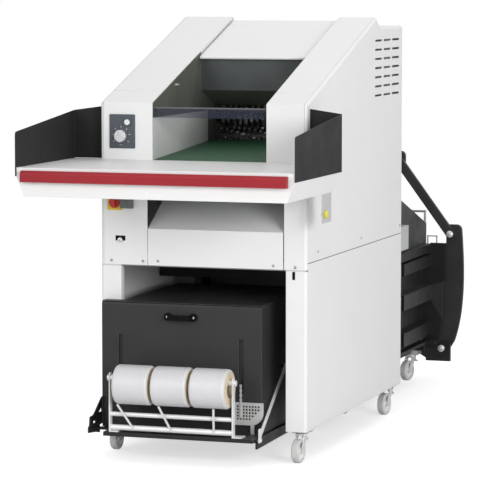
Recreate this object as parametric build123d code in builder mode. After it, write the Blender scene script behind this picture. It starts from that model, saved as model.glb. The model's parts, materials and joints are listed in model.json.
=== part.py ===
from build123d import *
import math
import os

# Industrial document shredder with a feed table, standing on a wheeled stand over a
# horizontal channel baler. X runs across, Y to the rear, Z up, the floor is at Z 0.

os.makedirs("parts", exist_ok=True)

# Driving dimensions, all in millimetres
body_width = 907
front_y = -1000
rear_y = 497
sheet = 3
seam = 1
corner_r = 12
seat_gap = 0.3
run_fit = 0.05

bend_z = 1488
peak_y = 61
peak_z = 1830
deck_y = 125
deck_z = 1787
side_seam_z = 831
front_seam_z = 800
intake_left = -222
intake_right = 278
mouth_y = -398
centre_drop = 15
cross_seam_y = -870

table_half = 590
table_bottom_half = 553
table_front_y = -1597
table_back_y = -960
table_z = 1247
table_bottom_z = 1130
apron_z = 1212

stand_bottom_z = 128
leg_width = 90
stand_sheet = 4

body_half = body_width / 2
slant = (peak_z - bend_z) / (peak_y - front_y)
slant_angle = math.degrees(math.atan(slant))


def slant_z(y):
    return bend_z + slant * (y - front_y)


def save(piece, label):
    piece.label = label
    export_step(piece, "parts/" + label + ".step")


def band(points, thickness):
    """Closed outline of a bent sheet: the points give one face, the other lies to their left."""
    count = len(points)
    normals = []
    for start, end in zip(points, points[1:]):
        length = math.dist(start, end)
        normals.append(((start[1] - end[1]) / length, (end[0] - start[0]) / length))
    inner = []
    for index, (px, py) in enumerate(points):
        before = normals[max(index - 1, 0)]
        after = normals[min(index, count - 2)]
        scale = thickness / (1 + before[0] * after[0] + before[1] * after[1])
        inner.append((px + scale * (before[0] + after[0]), py + scale * (before[1] + after[1])))
    return list(points) + inner[::-1]


def prism(plane, points, depth, mode=Mode.ADD):
    """Straight prism of a closed outline, standing on a plane."""
    with BuildSketch(plane) as outline:
        with BuildLine():
            Polyline(*points, close=True)
        make_face()
    extrude(outline.sketch, amount=depth, mode=mode)


def yz_prism(points, x_from, x_to, mode=Mode.ADD):
    prism(Plane.YZ.offset(x_from), points, x_to - x_from, mode)


def block(x_from, x_to, y_from, y_to, z_from, z_to, mode=Mode.ADD):
    """Box between limits."""
    points = [(x_from, y_from), (x_to, y_from), (x_to, y_to), (x_from, y_to)]
    prism(Plane.XY.offset(z_from), points, z_to - z_from, mode)


def rod(start, end, radius, mode=Mode.ADD):
    """Round bar between two points."""
    axis = Vector(*end) - Vector(*start)
    with BuildSketch(Plane(origin=start, z_dir=axis)) as section:
        Circle(radius)
    extrude(section.sketch, amount=axis.length, mode=mode)


def mirrored(piece):
    return mirror(piece, about=Plane.YZ)


# Casing of the upper machine, first as one thin shell
shell_points = [(front_y, front_seam_z), (front_y, bend_z), (peak_y, peak_z),
                (deck_y, deck_z), (rear_y, deck_z), (rear_y, front_seam_z)]


def casing_block(inset, radius):
    """Casing form, drawn in from the outside by a distance."""
    half = body_half - inset
    with BuildPart() as form:
        with BuildSketch(Plane.YZ.offset(-half)):
            with BuildLine():
                Polyline(*shell_points, close=True)
            make_face()
            if inset:
                offset(amount=-inset, kind=Kind.INTERSECTION, mode=Mode.REPLACE)
        extrude(amount=2 * half)
        walls = form.faces().filter_by(Axis.X)
        rims = walls.edges()
        low = rims.filter_by(Axis.Y).sort_by(Axis.Z)[:2]
        back = rims.filter_by(Axis.Z).sort_by(Axis.Y)[-2:]
        fillet([edge for edge in rims if edge not in low and edge not in back], radius)
    return form.part


with BuildPart() as shell:
    add(casing_block(0, corner_r))
    add(casing_block(sheet, corner_r - sheet), mode=Mode.SUBTRACT)
    block(-body_half, body_half, front_y, rear_y, front_seam_z - 1, front_seam_z + sheet + 1,
        mode=Mode.SUBTRACT)


def casing_piece(regions):
    """Part of the casing shell inside any of several prisms across X."""
    with BuildPart() as piece:
        for points, x_from, x_to in regions:
            yz_prism(points, x_from, x_to)
        add(shell.part, mode=Mode.INTERSECT)
    return piece


casing_low = front_seam_z + sheet + 1
edge_x = body_half - corner_r
split_z = 1190
column_left = 355
front_panel_split = -245
front_region_y = front_y + 60

side_region = [(front_y - 1, casing_low), (front_y + corner_r, casing_low),
               (front_y + corner_r, side_seam_z + seam), (rear_y + 1, side_seam_z + seam),
               (rear_y + 1, peak_z + 5), (front_y - 1, peak_z + 5)]
column_region = [(front_y - 1, casing_low), (front_y + corner_r, casing_low),
                 (front_y + corner_r, split_z), (front_y - 1, split_z)]

vent_columns = [(38, 150), (180, 295), (322, 445)]
vent_rows = 7
vent_pitch = 40.7
vent_low_z = 1483
vent_height = 9


def side_panel(regions, outer_x):
    piece = casing_piece(regions)
    with BuildPart() as panel:
        add(piece.part)
        with BuildSketch(Plane.YZ.offset(outer_x)):
            for start, end in vent_columns:
                for row in range(vent_rows):
                    with Locations(((start + end) / 2, vent_low_z + row * vent_pitch)):
                        Rectangle(end - start, vent_height)
        extrude(amount=2 * sheet, both=True, mode=Mode.SUBTRACT)
    return panel


side_panel_right = side_panel([(side_region, edge_x + seam / 2, body_half + 1),
                               (column_region, column_left, body_half)], body_half)
save(side_panel_right.part, "side_panel_right")

side_panel_left = side_panel([(side_region, -body_half - 1, -edge_x - seam / 2)], -body_half)
save(side_panel_left.part, "side_panel_left")


# Hood: two raised side columns and a lowered centre panel
lip_depth = 40
column_rear_y = deck_y + 20
groove = 1.2


def hood_column(x_outer, x_inner):
    """Pillar front, slant and ridge in one bent sheet, with a turned down inner edge."""
    x_low = min(x_outer, x_inner)
    x_high = max(x_outer, x_inner)
    region = [(front_y - 1, split_z + seam), (front_region_y, split_z + seam),
              (column_rear_y, split_z + seam), (column_rear_y, peak_z + 5), (front_y - 1, peak_z + 5)]
    inward = 1 if x_inner > x_outer else -1
    lip_points = band([(front_y, bend_z - 40), (front_y, bend_z), (peak_y, peak_z),
                       (deck_y, deck_z)], -lip_depth)
    cheek_clear = sheet + 2 * seat_gap
    with BuildPart() as column:
        add(casing_piece([(region, x_low, x_high)]).part)
        lip_from = x_inner - inward * (sheet + cheek_clear)
        lip_to = x_inner - inward * cheek_clear
        yz_prism(lip_points, min(lip_from, lip_to), max(lip_from, lip_to))
        rim_points = band([(front_y, split_z + 60), (front_y, bend_z), (peak_y, peak_z),
                           (deck_y, deck_z)], -sheet)
        yz_prism(rim_points, min(lip_from, x_inner), max(lip_from, x_inner))
        # Thin seam across the slant
        seam_z = slant_z(cross_seam_y)
        with BuildSketch(Plane.YZ.offset(x_low - 1)):
            with Locations((cross_seam_y, seam_z)):
                Rectangle(groove, groove * 2, rotation=slant_angle)
        extrude(amount=x_high - x_low + 2, mode=Mode.SUBTRACT)
    return column


hood_left_panel = hood_column(-edge_x + seam / 2, intake_left)
save(hood_left_panel.part, "hood_left_panel")
hood_right_panel = hood_column(edge_x - seam / 2, intake_right)
save(hood_right_panel.part, "hood_right_panel")

drop_z = centre_drop / math.cos(math.radians(slant_angle))
ridge_fall = (peak_z - deck_z) / (deck_y - peak_y)
centre_peak_z = peak_z - drop_z
centre_deck_y = peak_y + (centre_peak_z - deck_z) / ridge_fall
hem_r = 7
centre_seam = 3

with BuildPart() as hood_centre_panel:
    centre_points = [(mouth_y, slant_z(mouth_y) - drop_z), (peak_y, centre_peak_z),
                     (centre_deck_y, deck_z), (column_rear_y, deck_z)]
    yz_prism(band(centre_points, -sheet), intake_left + centre_seam, intake_right - centre_seam)
    hem_z = slant_z(mouth_y) - drop_z - hem_r
    rod((intake_left + centre_seam, mouth_y, hem_z), (intake_right - centre_seam, mouth_y, hem_z), hem_r)
save(hood_centre_panel.part, "hood_centre_panel")

rear_region = [(column_rear_y + seam, deck_z - 20), (column_rear_y + seam, deck_z + 5),
               (rear_y + 1, deck_z + 5), (rear_y + 1, side_seam_z + seam),
               (rear_y - 30, side_seam_z + seam), (rear_y - 30, deck_z - 20)]
rear_half = edge_x + seam / 2 - seat_gap
rear_panel = casing_piece([(rear_region, -rear_half, rear_half)])
save(rear_panel.part, "rear_panel")

# Lower front panels
front_left_region = [(front_y - 1, casing_low), (front_region_y, casing_low),
                     (front_region_y, split_z), (front_y - 1, split_z)]
left_panel_sheet = casing_piece([(front_left_region, -edge_x + seam / 2, front_panel_split - seam)])

pocket_z = 958
pocket_slope = 0.56
pocket_back_y = -700
pocket_back_z = pocket_z + pocket_slope * (pocket_back_y - front_y)
centre_gap = 4

with BuildPart() as front_panel_centre:
    face_points = [(front_y, front_seam_z + sheet + 1), (front_y, pocket_z),
                   (pocket_back_y, pocket_back_z)]
    yz_prism(band(face_points, -sheet), front_panel_split + seam, column_left - centre_gap)
save(front_panel_centre.part, "front_panel_centre")

# Hopper: cheeks, back wall, sloping ceiling and the bed inside the belt
cheek_rear_y = -178
back_wall_y = -377
back_wall_low_z = 1517
throat_z = 1443
belt_front_y = -978
belt_rear_y = -225
belt_front_z = 1229
belt_rear_z = 1272
belt_roller_r = 18
belt_thick = 2.5
flap_y = -985
flap_top_z = 1469
flap_pin_r = 4

cheek_top_clear = sheet + 1
cheek_points = [(front_y + sheet + 1, split_z + 2), (front_y + sheet + 1, bend_z - cheek_top_clear),
                (back_wall_y, slant_z(back_wall_y) - cheek_top_clear),
                (back_wall_y, slant_z(back_wall_y) - drop_z - 2 * sheet),
                (cheek_rear_y, slant_z(back_wall_y) - drop_z - 2 * sheet),
                (cheek_rear_y, split_z + 2)]

with BuildPart() as hopper_liner:
    for x_from in (intake_left - sheet - seat_gap, intake_right + seat_gap):
        yz_prism(cheek_points, x_from, x_from + sheet)
    wall_top_z = slant_z(back_wall_y) - drop_z - sheet - 1
    wall_points = [(back_wall_y, wall_top_z), (back_wall_y, back_wall_low_z), (cheek_rear_y, throat_z)]
    yz_prism(band(wall_points, sheet), intake_left - 2, intake_right + 2)
    bed_points = [(belt_front_y + 24, belt_front_z + 10), (belt_rear_y - 24, belt_rear_z + 10)]
    yz_prism(band(bed_points, -6), intake_left - 2, intake_right + 2)
    nose = (belt_front_y, belt_front_z)
    rod((intake_left - 2, *nose), (intake_right + 2, *nose), belt_roller_r - seat_gap)
    yz_prism([(belt_front_y, belt_front_z - 6), (belt_front_y, belt_front_z + 8),
              (belt_front_y + 26, belt_front_z + 10), (belt_front_y + 26, belt_front_z + 4)],
             intake_left - 2, intake_right + 2)
    for hinge_x in (intake_left, intake_right):
        with BuildSketch(Plane.YZ.offset(hinge_x)):
            with Locations((flap_y, flap_top_z - flap_pin_r)):
                Circle(flap_pin_r + run_fit)
            with Locations((belt_rear_y, belt_rear_z)):
                Circle(8 + run_fit)
        extrude(amount=10, both=True, mode=Mode.SUBTRACT)
save(hopper_liner.part, "hopper_liner")

# Clear swinging flap across the intake, on a thin rod
with BuildPart() as feed_flap:
    rod_z = flap_top_z - flap_pin_r
    rod((intake_left - sheet, flap_y, rod_z), (intake_right + sheet, flap_y, rod_z), flap_pin_r)
    block(intake_left + 3, intake_right - 3, flap_y - 1.5, flap_y + 1.5, 1425, rod_z)
save(feed_flap.part, "feed_flap")

# Endless belt with its drive roller
belt_left = intake_left + 5
belt_right = intake_right - 5


def belt_loop(radius, mode=Mode.ADD):
    run = Vector(belt_rear_y - belt_front_y, belt_rear_z - belt_front_z)
    side = Vector(-run.Y, run.X).normalized() * radius
    back = run.normalized() * radius
    front = Vector(belt_front_y, belt_front_z)
    rear = Vector(belt_rear_y, belt_rear_z)
    with BuildSketch(Plane.YZ.offset(belt_left)) as loop:
        with BuildLine():
            Line(front + side, rear + side)
            ThreePointArc(rear + side, rear + back, rear - side)
            Line(rear - side, front - side)
            ThreePointArc(front - side, front - back, front + side)
        make_face()
    extrude(loop.sketch, amount=belt_right - belt_left, mode=mode)


with BuildPart() as conveyor_belt:
    belt_loop(belt_roller_r + seat_gap + belt_thick)
    belt_loop(belt_roller_r + seat_gap, mode=Mode.SUBTRACT)
save(conveyor_belt.part, "conveyor_belt")

with BuildPart() as belt_roller:
    roller_at = (belt_rear_y, belt_rear_z)
    rod((belt_left, *roller_at), (belt_right, *roller_at), belt_roller_r)
    rod((intake_left - 12, *roller_at), (intake_right + 12, *roller_at), 8)
save(belt_roller.part, "belt_roller")

# Cutting rollers: meshing toothed discs on two shafts
roller_y = -113
roller_low_z = 1292
roller_spacing = 98
disc_tip_r = 56
disc_root_r = 47
shaft_r = 36
disc_count = 18
disc_teeth = 9
disc_pitch = 26.6
disc_width = 12.6
journal_r = 22
frame_left = -262
frame_plate = 14
frame_right = 304


def toothed_outline(turn):
    points = []
    for tooth in range(disc_teeth):
        start = turn + tooth * 360 / disc_teeth
        for angle, radius in ((0, disc_tip_r), (9, disc_tip_r - 1), (14, disc_root_r)):
            heading = math.radians(start + angle)
            points.append((radius * math.cos(heading), radius * math.sin(heading)))
    return points


def cutter_roller(z, first_x, turn_step):
    with BuildPart() as roller:
        for index in range(disc_count):
            x_from = first_x + index * disc_pitch
            plane = Plane(origin=(x_from, roller_y, z), x_dir=(0, 1, 0), z_dir=(1, 0, 0))
            prism(plane, toothed_outline(index * turn_step), disc_width)
        rod((intake_left + 2, roller_y, z), (intake_right - 2, roller_y, z), shaft_r)
        rod((frame_left, roller_y, z), (frame_right + frame_plate, roller_y, z), journal_r)
    return roller


first_disc_x = intake_left + 10
cutter_roller_lower = cutter_roller(roller_low_z, first_disc_x, 8)
save(cutter_roller_lower.part, "cutter_roller_lower")
cutter_roller_upper = cutter_roller(roller_low_z + roller_spacing, first_disc_x + disc_pitch / 2, -8)
save(cutter_roller_upper.part, "cutter_roller_upper")

# Inner frame: a ring on the stand, two bearing plates and cross ties
ring_top_z = 829
ring_low_z = front_seam_z - 1 + seat_gap
ring_half = body_half - stand_sheet - seat_gap
ring_front_y = front_y + sheet + seat_gap
ring_rear_y = rear_y - stand_sheet - seat_gap
ring_bar = 40
bearing_front_y = -176
bearing_rear_y = 60
bearing_top_z = 1480

with BuildPart() as machine_frame:
    block(-ring_half, ring_half, ring_front_y, ring_rear_y, ring_low_z, ring_top_z)
    block(-ring_half + ring_bar, ring_half - ring_bar, ring_front_y + ring_bar,
              ring_rear_y - ring_bar, ring_low_z - 1, ring_top_z + 1, mode=Mode.SUBTRACT)
    for side in (-1, 1):
        low_x, high_x = sorted((side * (ring_half - 10), side * (ring_half + 1)))
        block(low_x, high_x, ring_front_y - 1, ring_front_y + 10, ring_low_z - 1, ring_top_z + 1,
              mode=Mode.SUBTRACT)
    for bar_y in (bearing_front_y - 30, bearing_rear_y + 20):
        block(-ring_half + 10, ring_half - 10, bar_y, bar_y + ring_bar, ring_low_z, ring_top_z)
    for x_from in (frame_left, frame_right):
        block(x_from, x_from + frame_plate, bearing_front_y, bearing_rear_y + 30,
                  ring_low_z + 5, bearing_top_z)
    for tie_z in (930, bearing_top_z - 50):
        block(frame_left, frame_right + frame_plate, bearing_rear_y, bearing_rear_y + 30,
                  tie_z, tie_z + 40)
    for z in (roller_low_z, roller_low_z + roller_spacing):
        with BuildSketch(Plane.YZ.offset(frame_left - 5)):
            with Locations((roller_y, z)):
                Circle(journal_r + run_fit)
        extrude(amount=frame_right - frame_left + 40, mode=Mode.SUBTRACT)
save(machine_frame.part, "machine_frame")

# Feed table: a shallow tray with tapered ends, and its locking bracket
tray_half = table_half - sheet - seat_gap
bar_pin_r = 5
bar_pin_xs = (-450, 0, 450)
bar_pin_z = 1210
bracket_front_y = -1112
bracket_back_y = -984
bracket_low_z = 1010
bracket_knob_r = 14


def tray_form(inset, z_low, mode=Mode.ADD):
    points = [(-tray_half + inset, table_z - inset), (-tray_half + inset, apron_z),
              (-table_bottom_half + inset, z_low), (table_bottom_half - inset, z_low),
              (tray_half - inset, apron_z), (tray_half - inset, table_z - inset)]
    depth = table_back_y - table_front_y - 2 * inset
    prism(Plane.XZ.offset(-table_back_y + inset), points, depth, mode)


with BuildPart() as feed_table:
    tray_form(0, table_bottom_z)
    tray_form(sheet, table_bottom_z - 1, mode=Mode.SUBTRACT)
    block(-body_half - seat_gap, body_half + seat_gap, front_y - seat_gap, table_back_y + 1,
              table_bottom_z - 5, table_z + 5, mode=Mode.SUBTRACT)
    # Rear wall of the tray against the casing, below the intake
    block(-body_half, body_half, front_y - seat_gap - sheet, front_y - seat_gap,
              table_bottom_z, table_z)
    # Rear ends beside the casing, and the locking bracket below the right end
    for side in (-1, 1):
        low_x, high_x = sorted((side * table_bottom_half, side * (body_half + seat_gap)))
        block(low_x, high_x, table_back_y - sheet, table_back_y, table_bottom_z, table_z - 1)
    bracket_points = [(bracket_front_y, table_bottom_z + 10), (bracket_front_y, bracket_low_z + 8),
                      (bracket_front_y + 8, bracket_low_z), (bracket_back_y - 8, bracket_low_z),
                      (bracket_back_y, bracket_low_z + 8), (bracket_back_y, table_bottom_z + 10)]
    yz_prism(bracket_points, table_bottom_half - sheet, table_bottom_half)
    knob_at = (bracket_front_y + 34, bracket_low_z + 36)
    rod((table_bottom_half - 10, *knob_at), (table_bottom_half + 10, *knob_at), bracket_knob_r)
    for pin_x in bar_pin_xs:
        with BuildSketch(Plane.XZ.offset(-table_front_y + 1)):
            with Locations((pin_x, bar_pin_z)):
                Circle(bar_pin_r + seat_gap)
        extrude(amount=-sheet - 2, mode=Mode.SUBTRACT)
save(feed_table.part, "feed_table")

# Stop bar in front of the table, on three guide pins
bar_half = 561
bar_front_y = -1625
bar_back_y = table_front_y - 7
bar_low_z = 1190
bar_top_z = 1236
bar_wall = 3

with BuildPart() as stop_bar:
    bar_points = [(bar_back_y, bar_low_z), (bar_front_y, bar_low_z), (bar_front_y, bar_top_z - 11),
                  (bar_front_y + 11, bar_top_z), (bar_back_y, bar_top_z)]
    yz_prism(bar_points, -bar_half, bar_half)
    hollow = [(bar_back_y + 1, bar_low_z + bar_wall), (bar_front_y + bar_wall, bar_low_z + bar_wall),
              (bar_front_y + bar_wall, bar_top_z - 13), (bar_front_y + 13, bar_top_z - bar_wall),
              (bar_back_y + 1, bar_top_z - bar_wall)]
    yz_prism(hollow, -bar_half + bar_wall, bar_half - bar_wall, mode=Mode.SUBTRACT)
    for pin_x in bar_pin_xs:
        rod((pin_x, bar_front_y + 1, bar_pin_z), (pin_x, table_front_y + 14, bar_pin_z), bar_pin_r)
save(stop_bar.part, "stop_bar")

# Side guards of the table, each one bent sheet
guard_front_y = -1603
guard_front_z = 1390
guard_kink_z = 1450
guard_body_z = 1469
guard_back_y = table_back_y + sheet


def side_guard():
    with BuildPart() as guard:
        outline = [(guard_front_y, apron_z), (guard_front_y, guard_front_z),
                   (guard_back_y, guard_kink_z), (guard_back_y, apron_z)]
        yz_prism(outline, table_half - sheet, table_half)
        corner = guard.edges().filter_by(Axis.X).filter_by_position(Axis.Y, guard_front_y, guard_front_y)
        fillet(corner.sort_by(Axis.Z)[-1], 14)
        wall_x = body_half + seat_gap
        return_points = [(wall_x, table_z + 1), (wall_x, guard_body_z), (table_half, guard_kink_z),
                         (table_half, table_z + 1)]
        prism(Plane.XZ.offset(-guard_back_y), return_points, sheet)
    return guard


guard_right = side_guard()
save(guard_right.part, "guard_right")
with BuildPart() as guard_left:
    add(mirrored(guard_right.part))
save(guard_left.part, "guard_left")

# Control plate with its rotary selector and push button
plate_x = -355.5
plate_z = 1365.5
plate_w = 113
plate_h = 143
plate_t = 4
knob_x = -360.5
knob_z = 1346
knob_r = 26
knob_shaft_r = 5
button_x = -331
button_z = 1404
button_r = 12

with BuildPart() as control_plate:
    with BuildSketch(Plane.XZ.offset(-front_y + seat_gap)):
        with Locations((plate_x, plate_z)):
            RectangleRounded(plate_w, plate_h, 4)
    extrude(amount=plate_t)
    with BuildSketch(Plane.XZ.offset(-front_y)):
        with Locations((button_x, button_z)):
            Circle(button_r + 3)
    extrude(amount=plate_t + 5)
    for hole_x, hole_z, hole_r in ((knob_x, knob_z, knob_shaft_r + run_fit),
                                   (button_x, button_z, button_r + seat_gap)):
        with BuildSketch(Plane.XZ.offset(-front_y - 1)):
            with Locations((hole_x, hole_z)):
                Circle(hole_r)
        extrude(amount=20, mode=Mode.SUBTRACT)
save(control_plate.part, "control_plate")

plate_face_y = front_y - seat_gap - plate_t
with BuildPart() as selector_knob:
    rod((knob_x, plate_face_y - seat_gap, knob_z), (knob_x, plate_face_y - 20, knob_z), knob_r)
    chamfer(selector_knob.faces().sort_by(Axis.Y)[0].edges(), 2.5)
    rod((knob_x, plate_face_y - 5, knob_z), (knob_x, plate_face_y + plate_t, knob_z), knob_shaft_r)
    # Finger flutes and a pointer groove
    with BuildSketch(Plane.XZ.offset(-plate_face_y + 5)):
        with Locations((knob_x, knob_z)):
            with PolarLocations(knob_r + 1, 12, start_angle=15):
                Circle(3)
    extrude(amount=20, mode=Mode.SUBTRACT)
    with BuildSketch(Plane.XZ.offset(-plate_face_y + 18)):
        with Locations((knob_x, knob_z + 14)):
            Rectangle(3, 14)
    extrude(amount=8, mode=Mode.SUBTRACT)
save(selector_knob.part, "selector_knob")

with BuildPart() as push_button:
    rod((button_x, front_y - 3.5, button_z), (button_x, front_y - plate_t - 12, button_z), button_r)
    fillet(push_button.edges().filter_by(GeomType.CIRCLE).sort_by(Axis.Y)[0], 2)
save(push_button.part, "push_button")

# Left front panel with the plate and side housing of the main switch, and the rotary handle
switch_x = -388.5
switch_z = 1066.5
switch_size = 65
switch_t = 8
switch_shaft_r = 6

with BuildPart() as front_panel_left:
    add(left_panel_sheet.part)
    with BuildSketch(Plane.XZ.offset(-front_y - 0.5)):
        with Locations((switch_x, switch_z)):
            RectangleRounded(switch_size, switch_size, 5)
    extrude(amount=switch_t + 0.5)
    with BuildSketch(Plane.XZ.offset(-front_y - 0.5)):
        with Locations((switch_x + switch_size / 2 + 24, switch_z)):
            RectangleRounded(50, 52, 6)
    extrude(amount=42.5, taper=5)
    with BuildSketch(Plane.XZ.offset(-front_y)):
        with Locations((switch_x, switch_z)):
            Circle(switch_shaft_r + run_fit)
    extrude(amount=20, mode=Mode.SUBTRACT)
save(front_panel_left.part, "front_panel_left")

switch_face_y = front_y - switch_t
with BuildPart() as main_switch_handle:
    with BuildSketch(Plane.XZ.offset(-switch_face_y + seat_gap)):
        with Locations((switch_x, switch_z)):
            Circle(23)
    extrude(amount=9)
    with BuildSketch(Plane.XZ.offset(-switch_face_y + 9)):
        with Locations((switch_x, switch_z)):
            SlotOverall(44, 15, rotation=90)
    extrude(amount=16)
    chamfer(main_switch_handle.faces().sort_by(Axis.Y)[0].edges(), 1.5)
    rod((switch_x, switch_face_y - 4, switch_z), (switch_x, front_y - 1, switch_z), switch_shaft_r)
save(main_switch_handle.part, "main_switch_handle")

# Stand: two bent side sheets with caster plates
swivel_x = 420
swivel_front_y = -955
swivel_rear_y = 400
kingpin_r = 7
foot_plate = 6
leg_lip = 35
pad_half_x = 29
pad_half_y = 42
pad_t = 4
race_r = 26
race_t = 5
rear_flange = 60
fold_y = -411
side_outer = [(body_half - leg_width, front_y + leg_lip), (body_half - leg_width, front_y),
              (body_half, front_y), (body_half, rear_y), (body_half - rear_flange, rear_y)]

with BuildPart() as stand_side:
    with BuildSketch(Plane.XY.offset(stand_bottom_z)):
        with BuildLine():
            Polyline(*band(side_outer, stand_sheet), close=True)
        make_face()
    extrude(amount=ring_top_z - stand_bottom_z)
    front_corner = stand_side.edges().filter_by(Axis.Z).filter_by_position(
        Axis.X, body_half - 0.1, body_half + 0.1).sort_by(Axis.Y)[0]
    fillet(front_corner, corner_r)
    block(body_half - leg_width - 1, body_half - 0.01, front_y - 1, front_y + leg_lip + 1,
          front_seam_z - seam, ring_top_z + 1, mode=Mode.SUBTRACT)
    block(body_half - leg_width - 1, body_half + 1, front_y - 1, front_y + corner_r,
          front_seam_z - seam, ring_top_z + 1, mode=Mode.SUBTRACT)
    # Upright fold line of the side
    block(body_half - 0.8, body_half + 1, fold_y - 1, fold_y + 1, stand_bottom_z - 1, ring_top_z + 1,
          mode=Mode.SUBTRACT)
    # Caster plates in the foot of each leg
    plate_low_x = body_half - leg_width
    plate_high_x = body_half - stand_sheet + 0.5
    foot_ys = ((front_y + stand_sheet - 0.5, front_y + 90), (swivel_rear_y - 50, rear_y - stand_sheet + 0.5))
    for foot_from, foot_to in foot_ys:
        block(plate_low_x, plate_high_x, foot_from, foot_to, stand_bottom_z, stand_bottom_z + foot_plate)
    for swivel_y in (swivel_front_y, swivel_rear_y):
        block(swivel_x - pad_half_x, swivel_x + pad_half_x, swivel_y - pad_half_y, swivel_y + pad_half_y,
              stand_bottom_z - pad_t, stand_bottom_z)
        rod((swivel_x, swivel_y, stand_bottom_z - pad_t - race_t),
            (swivel_x, swivel_y, stand_bottom_z - pad_t), race_r)
        rod((swivel_x, swivel_y, stand_bottom_z - 20), (swivel_x, swivel_y, stand_bottom_z + 20),
            kingpin_r + run_fit, mode=Mode.SUBTRACT)

with BuildPart() as stand_side_right:
    add(stand_side.part)
    # Slot in the front of the right leg
    block(390, 403, front_y - 1, front_y + stand_sheet + 1, 763, 797, mode=Mode.SUBTRACT)
save(stand_side_right.part, "stand_side_right")
with BuildPart() as stand_side_left:
    add(mirrored(stand_side.part))
save(stand_side_left.part, "stand_side_left")

# Swivel casters: one fork and one wheel, placed six times
wheel_r = 50
wheel_w = 30
trail = 43
axle_r = 6
fork_top_z = stand_bottom_z - pad_t - race_t - seat_gap
fork_sheet = 3
fork_inner = wheel_w / 2 + 2


def wheel(center, width, radius, axis, bore_r):
    """Tyre, web and hub turned about the axle."""
    half = width / 2
    hub = bore_r + 7
    profile = [(bore_r, -half), (hub, -half), (hub + 2, -half * 0.45), (radius * 0.68, -half * 0.4),
               (radius * 0.76, -half), (radius - 3, -half), (radius, -half + 4), (radius, half - 4),
               (radius - 3, half), (radius * 0.76, half), (radius * 0.68, half * 0.4),
               (hub + 2, half * 0.45), (hub, half), (bore_r, half)]
    across = Plane(origin=center, x_dir=(0, 0, 1), z_dir=Vector(axis).cross(Vector(0, 0, 1)))
    with BuildPart() as turned:
        with BuildSketch(across) as section:
            with BuildLine():
                Polyline(*profile, close=True)
            make_face()
        revolve(section.sketch, axis=Axis(center, axis))
    return turned.part


with BuildPart() as fork_master:
    rod((0, 0, fork_top_z - 7), (0, 0, fork_top_z), 25)
    rod((0, 0, fork_top_z - 3), (0, 0, stand_bottom_z + foot_plate + 3), kingpin_r)
    cheek = [(-16, fork_top_z - 1), (24, fork_top_z - 1), (trail + 12, wheel_r + 6),
             (trail + 9, wheel_r - 9), (trail - 9, wheel_r - 9), (trail - 16, wheel_r + 6)]
    for cheek_y in (-fork_inner - fork_sheet, fork_inner):
        prism(Plane.XZ.offset(-cheek_y - fork_sheet), cheek, fork_sheet)
    block(-16, 24, -fork_inner - fork_sheet, fork_inner + fork_sheet, fork_top_z - 7, fork_top_z - 1)
    rod((trail, -fork_inner - fork_sheet - 5, wheel_r), (trail, fork_inner + fork_sheet + 5, wheel_r),
        axle_r)
    # Brake pedal behind the swivel
    pedal = [(-14, fork_top_z - 1), (-14, fork_top_z - 7), (-40, fork_top_z - 30),
             (-52, fork_top_z - 34), (-52, fork_top_z - 29), (-38, fork_top_z - 22)]
    prism(Plane.XZ.offset(-11), pedal, 22)

with BuildPart() as wheel_master:
    add(wheel((trail, 0, wheel_r), wheel_w, wheel_r, (0, 1, 0), axle_r + run_fit))

baler_swivel_x = 212
baler_swivel_y = 1500
channel_mid = 28
caster_places = (("caster_{}_front_right", swivel_x, swivel_front_y, -93),
                 ("caster_{}_rear_right", swivel_x, swivel_rear_y, -97),
                 ("caster_{}_front_left", -swivel_x, swivel_front_y, 90),
                 ("caster_{}_rear_left", -swivel_x, swivel_rear_y, -55),
                 ("baler_{}_right", channel_mid + baler_swivel_x, baler_swivel_y, -103),
                 ("baler_{}_left", channel_mid - baler_swivel_x, baler_swivel_y, -80))

for name, place_x, place_y, heading in caster_places:
    with BuildPart() as caster_fork:
        with Locations(Location((place_x, place_y, 0), (0, 0, heading))):
            add(fork_master.part)
    save(caster_fork.part, name.format("fork"))
    with BuildPart() as caster_wheel:
        with Locations(Location((place_x, place_y, 0), (0, 0, heading))):
            add(wheel_master.part)
    save(caster_wheel.part, name.format("wheel"))

# Press channel of the baler, open at the rear, with side walls that swing
channel_half = 250
channel_wall = 6
rib_depth = 45
channel_low_z = 188
channel_top_z = 683
channel_front_y = -320
channel_rear_y = 1550
flap_hinge_y = 1004
flap_gap = 2
floor_z = channel_low_z + 12
roof_z = 640
chute_front_y = -260
chute_rear_y = 40
ram_axis_z = 420
ram_rod_r = 30
hinge_pin_r = 9
wall_out = channel_half + channel_wall
rib_out = wall_out + rib_depth
pin_offset = wall_out + 14
underframe_low_z = 138


def channel_x(offset):
    return channel_mid + offset


def box_rib(side, y_from, y_to, z_low, z_high):
    """Lengthwise rib with sloping flanks on the outside of a channel wall."""
    flank = 10
    points = [(channel_x(side * (wall_out - 1)), z_low), (channel_x(side * rib_out), z_low + flank),
              (channel_x(side * rib_out), z_high - flank), (channel_x(side * (wall_out - 1)), z_high)]
    prism(Plane.XZ.offset(-y_to), points, y_to - y_from)


rib_levels = ((215, 300), (391, 483), (560, 636))

# Planes and pins of the squeeze linkage behind the channel
yoke_pin = (381, 155)
yoke_top = (421, 731)
cross_pin = (145, 1103)
yoke_pin_r = 12
link_pin_r = 11
pin_head_r = 17
open_pivot_gap = 2
yoke_front_y = 1583
yoke_back_y = 1605
link_front_y = 1559
link_back_y = 1580
head_y = 1550
rear_limit_y = 1625

fixed_caster_ys = (channel_front_y + 95, 330)
fixed_caster_offset = 200


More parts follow.
